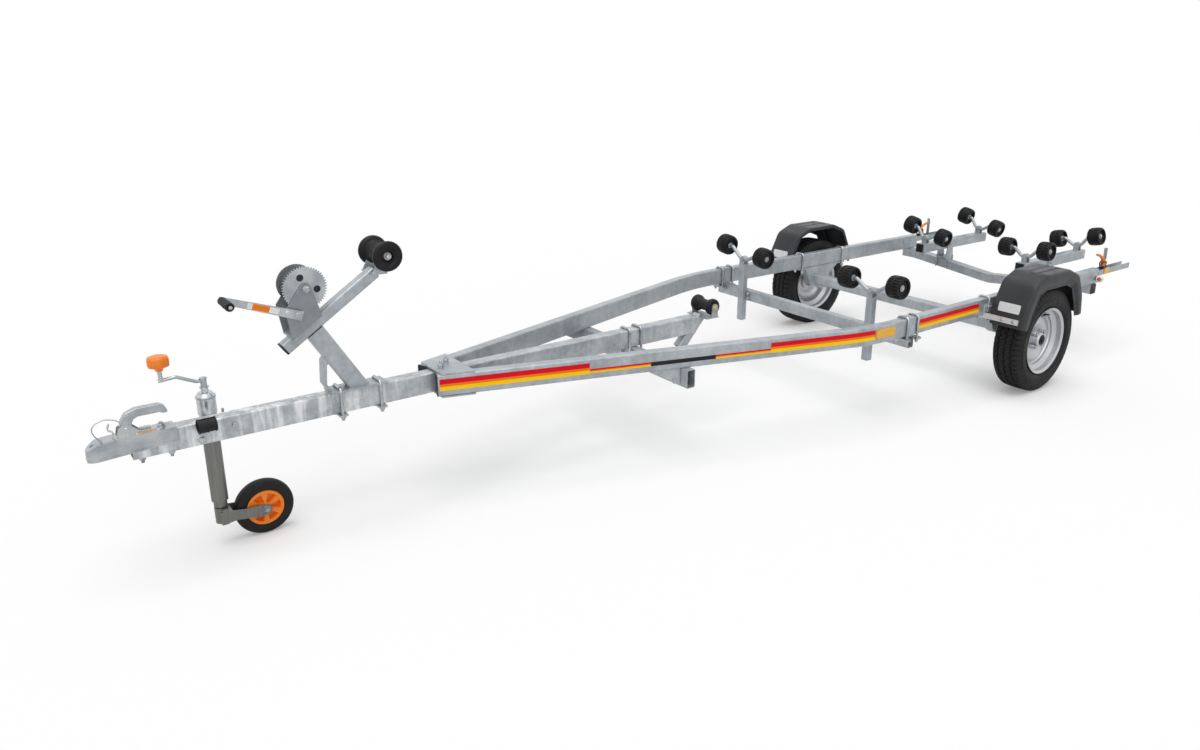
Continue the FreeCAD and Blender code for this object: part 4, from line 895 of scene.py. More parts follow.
def roller_pairs():
    """The six pairs of hull rollers, each on its own body, with nut and washer in its hollow end."""
    for name in (row + "_" + side for row in ("front", "mid", "rear") for side in ("left", "right")):
        centres, direction = roller_places(name)
        shapes = [barrel_roller(c, direction) for c in centres]
        pair = piece("hull_rollers_" + name, shapes, ROLLER, "rollers_" + name, angle=50)
        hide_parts("rollers_" + name)
        ends = []
        for sign, c in zip((-1, 1), centres):
            out = direction * sign
            ends += bolt(c + out * 0.0225, out, 0.0165, 0.007)
        piece("rod_end_nuts_" + name, ends, ZINC, "rocker_" + name)


def roller_places(name):
    """Centres and direction of a pair: the middles of its two halves, split across the pair."""
    points = np.array([v.co for v in frame["nodes"]["rollers_" + name].data.vertices])
    middle = (points.min(0) + points.max(0)) / 2
    near = points[points[:, 1] > middle[1]]
    far = points[points[:, 1] <= middle[1]]
    centres = [(p.min(0) + p.max(0)) / 2 for p in (far, near)]
    direction = centres[1] - centres[0]
    return centres, direction / np.linalg.norm(direction)


def keel_spool():
    """The keel's spool: a profile from flange to waist and back, with raised rings on its end faces."""
    low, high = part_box("keel_roller")
    centre = middle_of((low, high))
    half = (high.y - low.y) / 2
    flange = 0.038
    waist = 0.026
    ring = 0.016
    t = np.linspace(0, 1, 13)
    fall = flange - (flange - waist) * (0.5 - 0.5 * np.cos(np.pi * t))
    slope = list(zip(fall, -half + 0.016 + t * (half * 0.55)))
    side = [(r, -half + rise) for r, rise in (
        (0.0125, 0.004), (ring, 0.004), (ring + 0.002, 0.0005), (ring + 0.007, 0), (flange - 0.009, 0.0005),
        (flange - 0.006, 0.001), (flange - 0.002, 0.004), (flange, 0.009))]
    left = side + slope
    bore = 0.0084
    outline = mirrored([(bore, -half + 0.0008), (0.0125, -half + 0.0008)] + left)
    shape = lathe(outline + [outline[0]], centre, (0, 1, 0), 96)
    roller = piece("keel_roller_rubber", [shape], ROLLER, "keel_roller", angle=40)
    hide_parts("keel_roller")


def bow_stop():
    """The bow stop's middle roller and its two bells, each a curve of radius turned round."""
    low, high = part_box("bow_roller")
    centre = middle_of((low, high))
    half = (high.y - low.y) / 2
    flange = (high.z - low.z) / 2
    middle = 0.042
    y = np.linspace(-middle, middle, 33)
    waist = 0.031 + 0.012 * np.clip((np.abs(y) - 0.012) / (middle - 0.012), 0, 1) ** 2.4
    core = [(0.0083, -middle), *zip(waist, y), (0.0083, middle), (0.0083, -middle)]
    shapes = [lathe(core, centre, (0, 1, 0), 96)]
    inner = middle + 0.007
    t = np.linspace(0, 1, 9)
    swell = list(zip(0.036 + (flange - 0.036) * np.sin(t * np.pi / 2) ** 0.8, inner + 0.016 * t ** 1.5))
    face = [(r, half - drop) for r, drop in (
        (flange, 0.007), (flange - 0.0015, 0.003), (flange - 0.005, 0.0006), (flange - 0.009, 0), (0.034, 0),
        (0.031, 0.001), (0.029, 0.0035), (0.026, 0.004), (0.0235, 0.0035), (0.022, 0.001), (0.0205, 0.0005),
        (0.0185, 0.003), (0.0178, 0.0118), (0.0083, 0.012))]
    bell = [(0.0083, inner), (0.032, inner)] + swell + face + [(0.0083, inner)]
    for side in (1, -1):
        shapes.append(lathe(bell, centre, (0, side, 0), 96))
    roller = piece("bow_stop_roller", shapes, ROLLER, "bow_roller", angle=40)
    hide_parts("bow_roller")
    nuts = []
    for side in (1, -1):
        nuts += bolt(centre + np.array([0, side * (half - 0.0118), 0]), (0, side, 0), 0.019, 0.009, 0.004)
    piece("bow_stop_nuts", nuts, ZINC, "root")


roller_pairs()
bow_stop()
keel_spool()


# Coupling

def pressed_lever(outline, top_path, half, wall):
    """A channel-shaped lever: two cheeks of one outline, and a web carried over their top edge."""
    shapes = [plate(outline, 1, half - wall, half), plate(outline, 1, -half, -half + wall)]
    return shapes + [carried(rectangle(-half, half, -wall, 0), smooth_path(top_path, 0.012))]


def coupler_parts():
    """The coupler's lever, latch, pin and label, and the wire loop held at both ends."""
    outline = outline_at(
        (4052, 505), (4047, 536), (4036, 558), (4018, 571), (3998, 577), (3934, 577), (3922, 572),
        (3914, 562), (3912, 548), (3924, 547), (3934, 552), (3996, 552), (4008, 546), (4014, 536),
        (4016, 505))
    top = path_at((4051, 0, 512), (4046, 0, 541), (4030, 0, 567), (4000, 0, 578), (3934, 0, 578),
                  (3917, 0, 570), (3911, 0, 550))
    pressing = pressed_lever(outline, top, 0.013, 0.0026)
    lever = piece("coupler_lever_pressing", pressing, ZINC, "root", 0.0008)
    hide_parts("coupler_lever")
    ears = outline_at((4062, 497), (4056, 522), (4042, 531), (4020, 530), (4002, 512), (3988, 498))
    latch = [plate(ears, 1, 0.0145, 0.0168), plate(ears, 1, -0.0168, -0.0145)]
    latch.append(lathe([(0.0045, -0.021), (0.0045, 0.021)], at(4034, 0, 518), (0, 1, 0), 16))
    for side in (1, -1):
        latch.append(hexagon_head(at(4034, side * 17, 518), (0, side, 0), 0.013, 0.005))
    catch = path_at((4072, 0, 500), (4066, 0, 512), (4084, 0, 524), (4076, 0, 541))
    latch.append(carried(rectangle(-0.009, 0.009, -0.001, 0.001), smooth_path(catch, 0.006)))
    spring = np.linspace(0, 1, 121)
    coil = np.stack([at(3994, 0, 0)[0] - 0.030 * spring, 0.0065 * np.cos(spring * 44) + 0.002,
                     0.508 + 0.0065 * np.sin(spring * 44)], 1)
    latch.append(carried(circle(0.0011, 6), coil, (1, 0.2, 0.1)))
    latch += bolt(at(3934, 0, 499), (0, 0, 1), 0.019, 0.010, 0.005)
    latch += bolt(at(4107, 8, 495), (0, 0.25, 1), 0.008, 0.004, washer=False)
    piece("coupler_latch", latch, ZINC, "root", 0.0005)
    loop = path_at((4107, 8, 497), (4119, 12, 514), (4127, 15, 536), (4117, 17, 556), (4088, 19, 566),
                   (4058, 19, 557), (4040, 18, 537), (4034, 18, 520))
    piece("safety_wire_loop", [round_bar(loop, 0.0019, 0.03, 8, (0, 1, 0.2))], ZINC, "root")
    label = [block(ahead(3.948), ahead(4.004), 0.010, 0.026, 0.4989, 0.4997)]
    piece("coupler_label", label, TAN_FOIL, "root")
    edges = [block(ahead(x), ahead(x + 0.005), 0.010, 0.026, 0.4989, 0.4996) for x in (4.004, 3.943)]
    piece("coupler_label_ends", edges, WHITE_FOIL, "root")


def lamp_plug_ring():
    """The beads, ribs and screw of the ring that parks the lamp plug."""
    low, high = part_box("plug_holder")
    centre = np.array([(low.x + high.x) / 2, 0.0535, 0.491])
    shapes = []
    for along in (-0.026, 0.0, 0.025):
        shapes.append(lathe([(0.0225, along - 0.003), (0.0245, along - 0.0022), (0.0249, along),
                             (0.0245, along + 0.0022), (0.0225, along + 0.003), (0.0225, along - 0.003)],
                            centre, (1, 0, 0), 64))
    shapes.append(lathe([(0.0165, 0.004), (0.0165, -0.004), (0.004, -0.006)], centre, (1, 0, 0), 32))
    piece("plug_ring_beads", shapes, BLACK, "root", 0.0004)
    screw = bolt(at(3818, 27.6, 452), (0, 1, 0), 0.013, 0.006)
    piece("plug_ring_screw", screw, ZINC, "root")


# Jockey wheel

JOCKEY = at(3782, -60, 0)
JOCKEY_HUB = at(3642, -60, 101)
JOCKEY_HALF = 0.025


def jockey_outline(*points):
    """Outline points of the jockey wheel, given by radius and by depth from its face."""
    return [(r, JOCKEY_HALF - drop) for r, drop in points]


def jockey_knob():
    """The orange knob: a cap whose radius swells in six lobes as a cosine of the angle."""
    base = at(3906, -60, 664)
    t = np.linspace(0, 1, 9)
    profile = [(0.008, 0.0), (0.011, 0.0004), (0.0135, 0.006), (0.017, 0.0115), (0.025, 0.0135)]
    profile += list(zip(0.0305 + 0.0012 * np.sin(t * np.pi), 0.0165 + 0.026 * t))
    profile += [(0.029, 0.0465), (0.025, 0.0490), (0.018, 0.0499), (0.004, 0.0500)]
    lobed = np.clip((np.array([r for r, _ in profile]) - 0.014) / 0.014, 0, 1)

    def lobes(row, angle):
        wave = np.abs(np.cos(angle * 3)) ** 0.7
        return lobed[row] * (0.0030 * wave - 0.0012)

    shape = lathe(profile, base, (0, 0, 1), 144, lobes)
    knob = piece("crank_knob", [shape], ORANGE, "root", angle=50)
    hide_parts("jockey_knob")


def jockey_rim():
    """The orange rim: a ring and a hub joined by six spokes, with deep pockets between them.

    The face's depth is a smooth step of the cosine of six times the angle.
    """
    hub = jockey_outline((0.0063, -0.003), (0.0125, -0.003), (0.0145, -0.0015), (0.0155, 0.002))
    spoke = jockey_outline((0.0185, 0.004), (0.0205, 0.0045), (0.0235, 0.005), (0.030, 0.0052),
                           (0.038, 0.0052), (0.046, 0.005), (0.0505, 0.0046), (0.0525, 0.0042))
    ring = jockey_outline((0.0545, 0.0035), (0.0585, 0.0030), (0.0627, 0.0032), (0.0646, 0.0050))
    face = hub + spoke + ring
    first = len(hub)
    last = first + len(spoke)
    rows = len(face)
    outline = mirrored(face) + [face[0]]

    def pockets(row, angle):
        place = np.where(row < rows, row, 2 * rows - 1 - row)
        sign = np.where(row < rows, 1.0, -1.0)
        inside = np.clip((place - first) / 2.0, 0, 1) * np.clip((last - 1 - place) / 1.5, 0, 1)
        wedge = np.clip((np.cos(angle * 6) + 0.25) / 0.22, 0, 1)
        return -sign * 0.0180 * inside * wedge

    shape = lathe(outline, JOCKEY_HUB, (0, 1, 0), 240, relief=pockets)
    rim = piece("jockey_rim_spokes", [shape], ORANGE, "jockey_wheel", angle=30)
    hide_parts("jockey_rim")


def jockey_tyre():
    """The solid tyre: a smooth outline with round shoulders, turned round."""
    outline = jockey_outline(
        (0.0650, 0.004), (0.0665, 0.0018), (0.0700, 0.0012), (0.0745, 0.0002), (0.0800, 0), (0.0870, 0.0008),
        (0.0925, 0.0026), (0.0962, 0.0056), (0.0986, 0.0096), (0.1000, 0.0140), (0.1007, 0.0190),
        (0.1010, 0.0225))
    shape = lathe(mirrored(outline) + [outline[0]], JOCKEY_HUB, (0, 1, 0), 160)
    tyre = piece("jockey_solid_tyre", [shape], TYRE, "jockey_wheel", angle=40)
    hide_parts("jockey_tyre")


def jockey_fastenings():
    """The nut and collar over the tube's cap, the clamp's screw and the fork's axle nuts."""
    collar = [(0.0302, 0.545), (0.0315, 0.547), (0.0315, 0.551), (0.0302, 0.553)]
    shapes = [lathe(collar, JOCKEY, (0, 0, 1), 48),
              lathe([(0.015, 0.5815), (0.015, 0.5835), (0.010, 0.5845)], JOCKEY, (0, 0, 1), 32),
              hexagon_head(JOCKEY + (0, 0, 0.606), (0, 0, 1), 0.019, 0.010),
              lathe([(0.0125, 0.6125), (0.0125, 0.6145)], JOCKEY, (0, 0, 1), 24)]
    piece("jockey_cap_nut", shapes, ZINC, "root", 0.0004)
    screw = round_bar([at(3726, -62, 452), at(3726, -108, 452)], 0.006)
    bar = round_bar([at(3726, -104, 425), at(3726, -104, 479)], 0.0045, up=(1, 0, 0))
    piece("jockey_clamp_screw", [screw, bar], ZINC, "root")
    nuts = []
    for side in (1, -1):
        nuts += bolt(JOCKEY_HUB + (0, side * 0.0352, 0), (0, side, 0), 0.017, 0.0085, 0.002)
    piece("jockey_axle_nuts", nuts, ZINC, "jockey_fork")


coupler_parts()
lamp_plug_ring()
jockey_knob()
jockey_rim()
jockey_tyre()
jockey_fastenings()


# Winch and its crank

ARM_FRONT = at(3530, 0, 684)
ARM_REAR = at(3196, 0, 908)
SLOPE = (ARM_REAR - ARM_FRONT) / np.linalg.norm(ARM_REAR - ARM_FRONT)
LIFT = np.array([-SLOPE[2], 0, SLOPE[0]]) * np.sign(SLOPE[0])
CRANK_DIRECTION = math.radians(20.5)
DRUM = at(3455, 0, 893)


def crank_frame():
    """The crank shaft's centre, and unit vectors along the arm and square to it."""
    turn = math.atan2(-78.0, 35.0)
    reach = 0.0906
    shaft = DRUM + np.array([reach * math.cos(turn), 0, reach * math.sin(turn)])
    along = np.array([math.cos(CRANK_DIRECTION), 0, math.sin(CRANK_DIRECTION)])
    return shaft, along, np.array([-along[2], 0, along[0]])


def winch_parts():
    """Bolts on the winch's plates and arm, the arm's plug and the crank shaft's nut."""
    shaft, along = crank_frame()[:2]
    shapes = []
    for side in (1, -1):
        shapes += bolt(DRUM + (0, side * 0.0600, 0), (0, side, 0), 0.017, 0.007, 0.003)
        for run, rise in ((0.050, 0.014), (0.135, 0.016)):
            place = ARM_FRONT + SLOPE * run + LIFT * rise + np.array([0, side * 0.0212, 0])
            shapes += bolt(place, (0, side, 0), 0.014, 0.006)
    for run in (0.062, 0.132):
        shapes += bolt(ARM_FRONT + SLOPE * run + LIFT * 0.0262, LIFT, 0.017, 0.008)
    piece("winch_bolts", shapes, ZINC, "root")
    plug = [tube_plug(ARM_FRONT, -SLOPE, 0.042, 0.042, thick=0.006)]
    piece("winch_arm_plug", plug, BLACK, "root")
    catch = [(0.0095, 0.0610), (0.0095, 0.0695), (0.006, 0.0705)]
    crank_parts = [hexagon_head(shaft + (0, 0.0668, 0), (0, 1, 0), 0.019, 0.008),
                   lathe([(0.013, 0.0666), (0.013, 0.0690)], shaft, (0, 1, 0), 32),
                   lathe(catch, shaft + along * 0.034, (0, 1, 0), 24)]
    piece("crank_shaft_nut", crank_parts, ZINC, "winch_crank", 0.0004)


def crank_label():
    """A bare label on the crank's arm: white, orange and white fields."""
    shaft, along, across = crank_frame()

    def field(first, last):
        corners = [shaft + along * run + across * rise for run, rise in
                   ((first, -0.0095), (last, -0.0095), (last, 0.0095), (first, 0.0095))]
        return plate([c[[0, 2]] for c in corners], 1, 0.0668, 0.0676)

    piece("crank_label_orange", [field(0.095, 0.150)], ORANGE_FOIL, "winch_crank")
    piece("crank_label_white", [field(0.064, 0.095), field(0.150, 0.166)], WHITE_FOIL, "winch_crank")


def crank_grip():
    """The grip: an outline turned round, its radius rippled by fine rings and flutes, with an end hole."""
    shaft, along = crank_frame()[:2]
    start = shaft + along * 0.246 + np.array([0, 0.069, 0])
    y = np.linspace(0.004, 0.092, 60)
    body = 0.0128 + 0.0012 * np.sin((y - 0.02) * 40) ** 2 + 0.0012 * np.clip((y - 0.080) / 0.012, 0, 1)
    rings = 0.0005 * (np.sin(y * 1400) > 0)
    profile = [(0.0064, 0.0), (0.0115, 0.0), (0.0128, 0.0015), *zip(body + rings, y), (0.0142, 0.0955),
               (0.0125, 0.0978), (0.0085, 0.0980), (0.0080, 0.0940), (0.0064, 0.0935), (0.0064, 0.0)]
    outline = np.array(profile)

    def flutes(row, angle):
        body_rows = (row > 3) & (row < 60)
        return body_rows * -0.0005 * (np.sin(angle * 22) > 0.3)

    grip = piece("crank_ribbed_grip", [lathe(outline, start, (0, 1, 0), 132, flutes)], BLACK, "winch_crank",
                 angle=40)
    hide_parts("crank_grip")


def wound_strap():
    """The webbing wound on the drum: a coil whose radius steps out a layer each turn."""
    low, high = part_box("winch_strap")
    radius = 0.055
    middle = (low.y + high.y) / 2
    half = (high.y - low.y) / 2 - 0.0006
    turns = 9
    angle = np.linspace(0, 2 * np.pi * turns, turns * 72)
    reach = np.linspace(0.0175, radius - 0.0012, len(angle))
    path = np.stack([DRUM[0] + reach * np.cos(angle), np.full(len(angle), middle),
                     DRUM[2] + reach * np.sin(angle)], 1)
    layer = carried(rectangle(-0.0020, 0.0020, -half, half), path, (0, 1, 0))
    strap = piece("winch_webbing_coil", [layer], WEBBING, "winch_drum")
    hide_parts("winch_strap")


winch_parts()
wound_strap()
crank_label()
crank_grip()


# Fenders and lights

def fender_shell(side):
    """A moulded fender: its cross-section carried over the arch.

    The section changes along the way: two grooves sink into the top as a smooth bump of the
    width, and the side flange narrows towards both feet.
    """
    low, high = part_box("fender_left")
    top = high.z
    foot = low.z + 0.0005
    corners = [(AXLE + s * x, 0, z) for s, x, z in (
        (1, 0.290, foot), (1, 0.272, top - 0.157), (1, 0.212, top - 0.040), (1, 0.110, top),
        (-1, 0.110, top), (-1, 0.212, top - 0.040), (-1, 0.272, top - 0.157), (-1, 0.290, foot))]
    path = evenly(smooth_path(corners, 0.060, 10), 0.009)
    inner = low.y + 0.0002
    outer = high.y - 0.0002
    t = np.linspace(0, np.pi / 2, 7)
    width = np.linspace(inner + 0.006, outer - 0.018, 47)
    share = (width - inner) / (outer - inner)
    crown = -0.0015 + 0.0015 * np.sin(share * np.pi)
    lip = [(inner, -0.022), (inner, -0.007), (inner + 0.0015, -0.0030)]
    corner = list(zip(outer - 0.016 + 0.016 * np.sin(t), -0.0165 + 0.015 * np.cos(t)))
    flange = [(outer, -0.030), (outer, -0.046), (outer - 0.0015, -0.050), (outer - 0.0085, -0.062),
              (outer - 0.0100, -0.066), (outer - 0.0100, -0.079), (outer - 0.0085, -0.0815)]
    skin = np.array(lip + list(zip(width, crown)) + corner + flange)
    inside = np.array([(outer - 0.0125, -0.0810), (outer - 0.0128, -0.066), (outer - 0.0115, -0.061),
                       (outer - 0.0035, -0.049), (outer - 0.0028, -0.030), (outer - 0.0035, -0.018),
                       (outer - 0.0090, -0.0060), (outer - 0.018, -0.0045), (inner + 0.010, -0.0050),
                       (inner + 0.0028, -0.008), (inner + 0.0028, -0.022)])
    section = np.vstack([skin, inside])
    along = path[:, 0] - AXLE
    rise = np.clip((path[:, 2] - foot) / 0.130, 0, 1)
    shrink = 1 - 0.42 * (1 - rise) ** 2
    sections = np.repeat(section[None], len(path), 0)
    below = np.minimum(section[:, 1] + 0.030, 0)
    on_flange = section[:, 0] > outer - 0.020
    sections[:, :, 1] += on_flange * below * (shrink[:, None] - 1)
    on_skin = (np.arange(len(section)) >= len(lip)) & (np.arange(len(section)) < len(lip) + len(width))
    window = np.clip((0.118 - np.abs(along - 0.004)) / 0.012, 0, 1)
    for y in (inner + 0.072, inner + 0.128):
        bump = np.clip((0.0085 - np.abs(section[:, 0] - y)) / 0.004, 0, 1) * on_skin
        sections[:, :, 1] -= 0.0042 * window[:, None] * bump
    sections[:, :, 0] *= -1
    shape = carried(sections, path)
    if side < 0:
        shape = other_side(shape)
    name = side_name(side)
    shell = piece("fender_shell_" + name, [shape], FENDER, "root", angle=38)
    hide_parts("fender_" + name)


def leaning_plate(y0, y1, z0, z1, lean, out, thick):
    """A flat plate with round corners on the fender's front face, leaning back by degrees."""
    middle = at(272.5, 0, 478) + np.array([out, (y0 + y1) / 2, (z0 + z1) / 2 - 0.478])
    half_y = (y1 - y0) / 2
    half_z = (z1 - z0) / 2
    flat = rectangle(-half_y, half_y, -half_z, half_z, 0.006)
    return moved(plate(flat, 0, 0, thick), turn_about("Y", -lean), middle)


def fender_fittings():
    """White front reflectors, the bars' bolts and two bolts on each fender's inner side."""
    plates = [leaning_plate(0.719, 0.833, 0.454, 0.501, 13, 0.0005, 0.006)]
    piece("front_reflectors", both_sides(plates), WHITE_REFLECTOR, "root", 0.0015)
    shapes = []
    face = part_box("fender_bars")[1].x
    for way, x in ((1, face - 0.0024), (-1, 2 * AXLE - face + 0.0024)):
        for y in (0.752, 0.812):
            shapes += bolt((x, y, 0.415), (way, 0, 0.18), 0.013, 0.0045)
    for x in (0.262, 0.246):
        shapes += bolt((ahead(x), 0.6552, 0.455), (0, 1, 0), 0.015, 0.007)
    piece("fender_bar_bolts", both_sides(shapes), ZINC, "root")


def marker_lamps():
    """A round lamp on the left beam's end: white rim, red-orange dome, and the amber plates behind it."""
    place = at(-866, 672, 446)
    face = (1.0, 0.30, 0.0)
    rim = lathe([(0.012, -0.012), (0.0185, -0.011), (0.0205, -0.006), (0.0210, 0.0), (0.0205, 0.006),
                 (0.0180, 0.0105), (0.0120, 0.0120)], place, face, 64)
    lamp_rim = piece("marker_lamp_rim", [rim], WHITE_LENS, "root", angle=50)
    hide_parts("marker_lamp")
    t = np.linspace(0, np.pi / 2, 9)
    dome = list(zip(0.0115 * np.cos(t) + 0.0001, 0.0112 + 0.0050 * np.sin(t)))
    domes = [lathe(dome, place, face, 48), lathe(dome, place, (-1.0, -0.30, 0.0), 48)]
    piece("marker_lamp_domes", domes, LAMP, "root", angle=60)
    stalk = lathe([(0.012, 0.0), (0.0125, 0.004), (0.0085, 0.0065), (0.0075, 0.014)], at(-868, 650.2, 444),
                  (0, 1, 0.1), 32)
    piece("marker_lamp_stalk", [stalk], BLACK, "root")
    amber = plate(rectangle(ahead(-1.012), ahead(-0.955), 0.458, 0.494, 0.004), 1, 0.6495, 0.6545)
    piece("rear_side_reflectors", both_sides([amber]), AMBER, "root", 0.0012)


def lever_parts():
    """The clamp levers of the light holders: a hub, a curved tapering handle, a bolt and the cable rings."""
    shapes = []
    dark = []
    rings = []
    for side, tip in ((1, (88, 46)), (-1, (-104, 30))):
        base = at(-960, side * 634, 461)
        knee = base + (0, 0, 0.074)
        end = knee + np.array([tip[0] / 1000, 0, tip[1] / 1000])
        run = end - knee
        t = np.linspace(0, 1, 17)
        bow = 0.010 * np.sin(t * np.pi)
        path = knee + run * t[:, None] * 0.985 + np.array([0, 0, 1.0]) * bow[:, None]
        half = 0.0105 - 0.0025 * t
        round_profile = circle(1.0, 16)
        profiles = np.stack([round_profile[None, :, 0] * half[:, None] * 0.85,
                             round_profile[None, :, 1] * half[:, None]], -1)
        shapes.append(carried(profiles, path, (0, 1, 0)))
        hub = [(0.009, -0.030), (0.0125, -0.028), (0.0135, -0.010), (0.0135, 0.008), (0.011, 0.012)]
        shapes.append(lathe(hub, knee, (0, 0, 1), 40))
        dark += bolt(knee + (0, 0, 0.012), (0, 0, 1), 0.011, 0.005, washer=False)
        dark.append(lathe([(0.0078, 0.0), (0.0078, 0.046)], base, (0, 0, 1), 24))
        angle = np.linspace(0, 2 * np.pi, 56, endpoint=False)
        for lean, reach in ((-0.010, 0.036), (0.012, 0.031)):
            loop = np.stack([base[0] + reach * np.cos(angle), base[1] + lean * np.sin(angle),
                             base[2] + 0.047 + 0.024 * np.sin(angle)], 1)
            rings.append(carried(circle(0.0031, 10), loop, (0, 1, 0), True))
    handle = piece("holder_lever_handles", shapes, ORANGE, "root", angle=50)
    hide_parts("light_levers")
    piece("holder_lever_bolts", dark, BLACK_STEEL, "root")
    piece("holder_cable_rings", rings, BLACK, "root")


POST_Y = 0.437
POST_BOLTS_Z = (0.372, 0.398)


def clamps_and_plugs():
    """Clamp plates and bolts at the posts, the swing brackets and the crossmembers, and the tubes' plugs."""
    shapes = []
    cross_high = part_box("roller_crossmember")[1]
    for side in (1, -1):
        y = side * POST_Y
        for height in POST_BOLTS_Z:
            for dy in (-0.030, 0.030):
                shapes += bolt((cross_high.x + 0.0058, y + dy, height), (1, 0, 0), 0.014, 0.007, 0.003)
        flat = rectangle(y - 0.042, y + 0.042, 0.358, 0.412, 0.006)
        shapes.append(plate(flat, 0, cross_high.x + 0.0008, cross_high.x + 0.0056))
        shapes += bolt((cross_high.x + 0.014, y, 0.590), (1, 0, 0), 0.017, 0.008, 0.004)
    rear_low, rear_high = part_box("rear_crossmember")
    swing_low, swing_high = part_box("swing_beam_left")
    middle = (swing_low.y + swing_high.y) / 2
    for side in (1, -1):
        for dy in (-0.036, 0.036):
            y = side * (middle + dy)
            for x in (rear_low.x - 0.006, rear_high.x + 0.006):
                shapes.append(round_bar([(x, y, 0.336), (x, y, 0.414)], 0.0050, sides=10, up=(1, 0, 0)))
    gusset = [(ahead(2.066), 0.4150), (ahead(2.196), 0.4150), (ahead(2.190), 0.4080), (ahead(2.066), 0.3440)]
    left = moved(plate(gusset, 1, -0.002, 0.002), turn_about("Z", -16.9), (0, 0.3655, 0),
                 (ahead(2.066), 0, 0))
    piece("crossmember_gussets", both_sides([left]), GALVANISED, "root", 0.0008)
    nut = bolt(at(2092, 362.5, 362), (0.29, 0.957, 0), 0.015, 0.007)
    shapes += both_sides(nut)
    piece("clamp_plates_and_bolts", shapes, ZINC, "root")
    for side in (1, -1):
        plugs = [tube_plug((x, side * middle, 0.491), (turn, 0, 0), 0.058, 0.058)
                 for x, turn in ((swing_high.x - 0.0005, -1), (swing_low.x + 0.0005, 1))]
        name = side_name(side)
        piece("swing_beam_plugs_" + name, plugs, BLACK, "swing_" + name)
    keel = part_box("keel_roller")
    bracket = []
    spool = middle_of(keel)
    for side in (1, -1):
        place = (spool[0], side * (keel[1].y + 0.0062), spool[2])
        bracket += bolt(place, (0, side, 0), 0.019, 0.008, 0.003)
    piece("keel_roller_bolts", bracket, YELLOW_ZINC, "root")


for side in (1, -1):
    fender_shell(side)
fender_fittings()
marker_lamps()
lever_parts()
clamps_and_plugs()


# Stage and camera

SKY_LOW = 0.34
SKY_HIGH = 0.62
FLOOR_GLOW = 0.21
FLOOR_REACH = 60.0
PHOTO_WIDTH = 1200
PHOTO_HEIGHT = 750
FOCAL_PIXELS = 900.80
PHOTO_CENTRE = (641.914, 337.252)
PHOTO_ANGLES = (-38.245, -17.316, 0.7255)
PHOTO_PLACE = (ahead(4.3758), 3.0380, 1.6471)


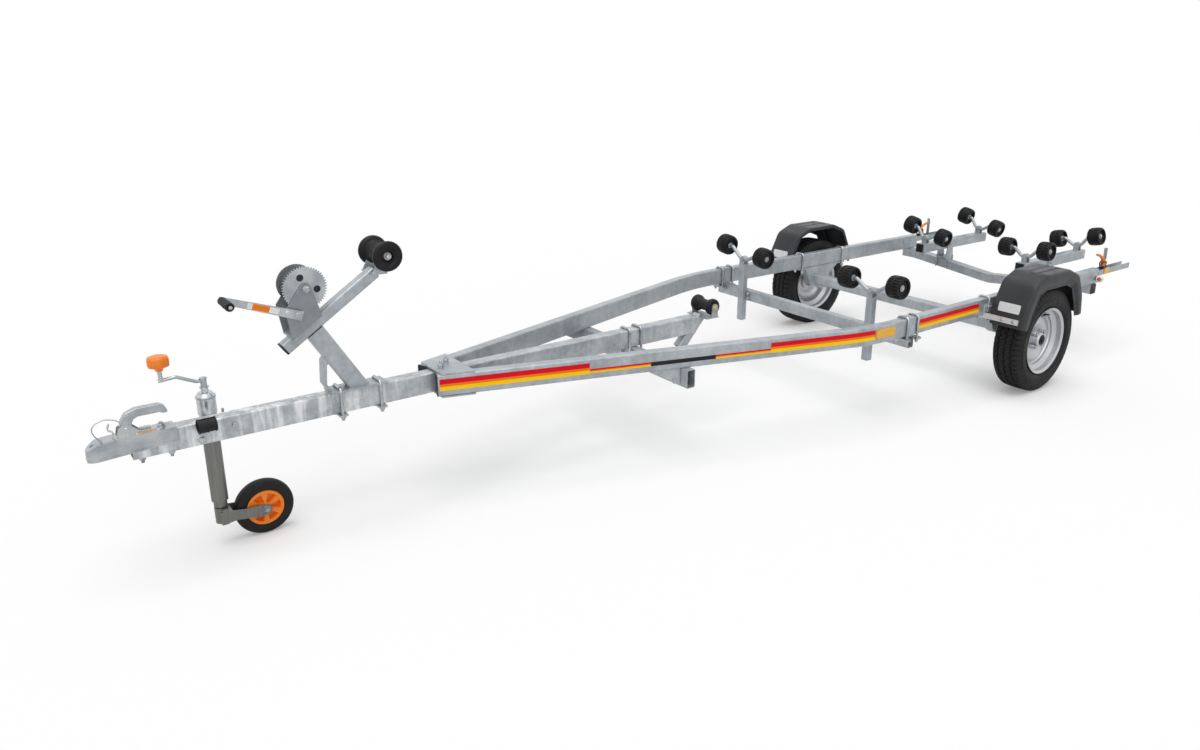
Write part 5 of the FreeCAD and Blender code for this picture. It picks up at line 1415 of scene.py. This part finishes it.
def studio():
    """A white floor that runs into a white sky, which light the trailer softly from above."""
    world = bpy.data.worlds.new("studio")
    bpy.context.scene.world = world
    world.use_nodes = True
    tree = world.node_tree
    tree.nodes.clear()
    rays = add_node(tree, "LightPath").outputs
    place = add_node(tree, "TexCoord").outputs["Generated"]
    height = add_node(tree, "SeparateXYZ", place).outputs["Z"]
    fade = add_node(tree, "MapRange", height, -0.1, 0.9, SKY_LOW, SKY_HIGH)
    light = add_node(tree, "Background", Strength=fade.outputs["Result"])
    seen = add_node(tree, "Background", Color=(1, 1, 1, 1), Strength=1.0)
    through = add_node(tree, "Math", rays["Is Glossy Ray"], rays["Is Transmission Ray"])
    any_seen = add_node(tree, "Math", rays["Is Camera Ray"], through.outputs[0])
    through.operation = any_seen.operation = "MAXIMUM"
    sky = add_node(tree, "MixShader", any_seen.outputs[0], light.outputs[0], seen.outputs[0])
    add_node(tree, "OutputWorld", sky.outputs[0])

    corners = rectangle(-FLOOR_REACH, FLOOR_REACH, -FLOOR_REACH, FLOOR_REACH)
    mesh = bpy.data.meshes.new("floor")
    mesh.from_pydata([(x, y, 0) for x, y in corners], [], [[0, 1, 2, 3]])
    floor = bpy.data.objects.new("floor", mesh)
    bpy.context.scene.collection.objects.link(floor)
    paint = bpy.data.materials.new("floor_paint")
    paint.use_nodes = True
    tree = paint.node_tree
    shader = tree.nodes["Principled BSDF"]
    shader.inputs["Base Color"].default_value = (0.80, 0.80, 0.80, 1)
    shader.inputs["Roughness"].default_value = 0.9
    shader.inputs["Specular IOR Level"].default_value = 0.0
    glow = add_node(tree, "Emission", Strength=FLOOR_GLOW)
    lit = add_node(tree, "AddShader", shader.outputs[0], glow.outputs[0])
    camera_ray = add_node(tree, "LightPath").outputs["Is Camera Ray"]
    choose = add_node(tree, "MixShader", camera_ray, shader.outputs[0], lit.outputs[0])
    put(tree, tree.nodes["Material Output"].inputs["Surface"], choose.outputs[0])
    mesh.materials.append(paint)


def soft_sun(name, direction, strength, spread):
    """A broad sun that shines from a direction, soft over an angle in degrees."""
    data = bpy.data.lights.new(name, "SUN")
    data.energy = strength
    data.angle = math.radians(spread)
    thing = bpy.data.objects.new(name, data)
    bpy.context.scene.collection.objects.link(thing)
    d, side, over = axes_for(direction)
    thing.matrix_world = Matrix(np.stack([side, over, d], 1).tolist()).to_4x4()


def photo_camera():
    """The camera where the photograph was taken from: a place, a yaw, pitch and roll, and a lens."""
    yaw, pitch, roll = (math.radians(a) for a in PHOTO_ANGLES)
    level = math.cos(pitch)
    ahead_way = np.array([math.sin(yaw) * level, -math.cos(yaw) * level, math.sin(pitch)])
    right = np.cross(ahead_way, (0, 0, 1))
    right = right / np.linalg.norm(right)
    up = np.cross(right, ahead_way)
    right, up = (math.cos(roll) * right + math.sin(roll) * up, -math.sin(roll) * right + math.cos(roll) * up)
    data = bpy.data.cameras.new("photo_camera")
    data.sensor_width = 36.0
    data.lens = data.sensor_width * FOCAL_PIXELS / PHOTO_WIDTH
    data.shift_x = (PHOTO_WIDTH / 2 - PHOTO_CENTRE[0]) / PHOTO_WIDTH
    data.shift_y = (PHOTO_CENTRE[1] - PHOTO_HEIGHT / 2) / PHOTO_WIDTH
    data.clip_end = 200.0
    thing = bpy.data.objects.new("photo_camera", data)
    bpy.context.scene.collection.objects.link(thing)
    turn = Matrix(np.stack([right, up, -ahead_way], 1).tolist()).to_4x4()
    thing.matrix_world = Matrix.Translation(PHOTO_PLACE) @ turn
    bpy.context.scene.camera = thing


studio()
soft_sun("overhead_sun", (0.15, 0.10, 1.0), 1.45, 50)
soft_sun("near_side_sun", (0.45, 1.0, 0.55), 0.62, 60)
photo_camera()
bpy.context.scene.view_settings.view_transform = "Standard"
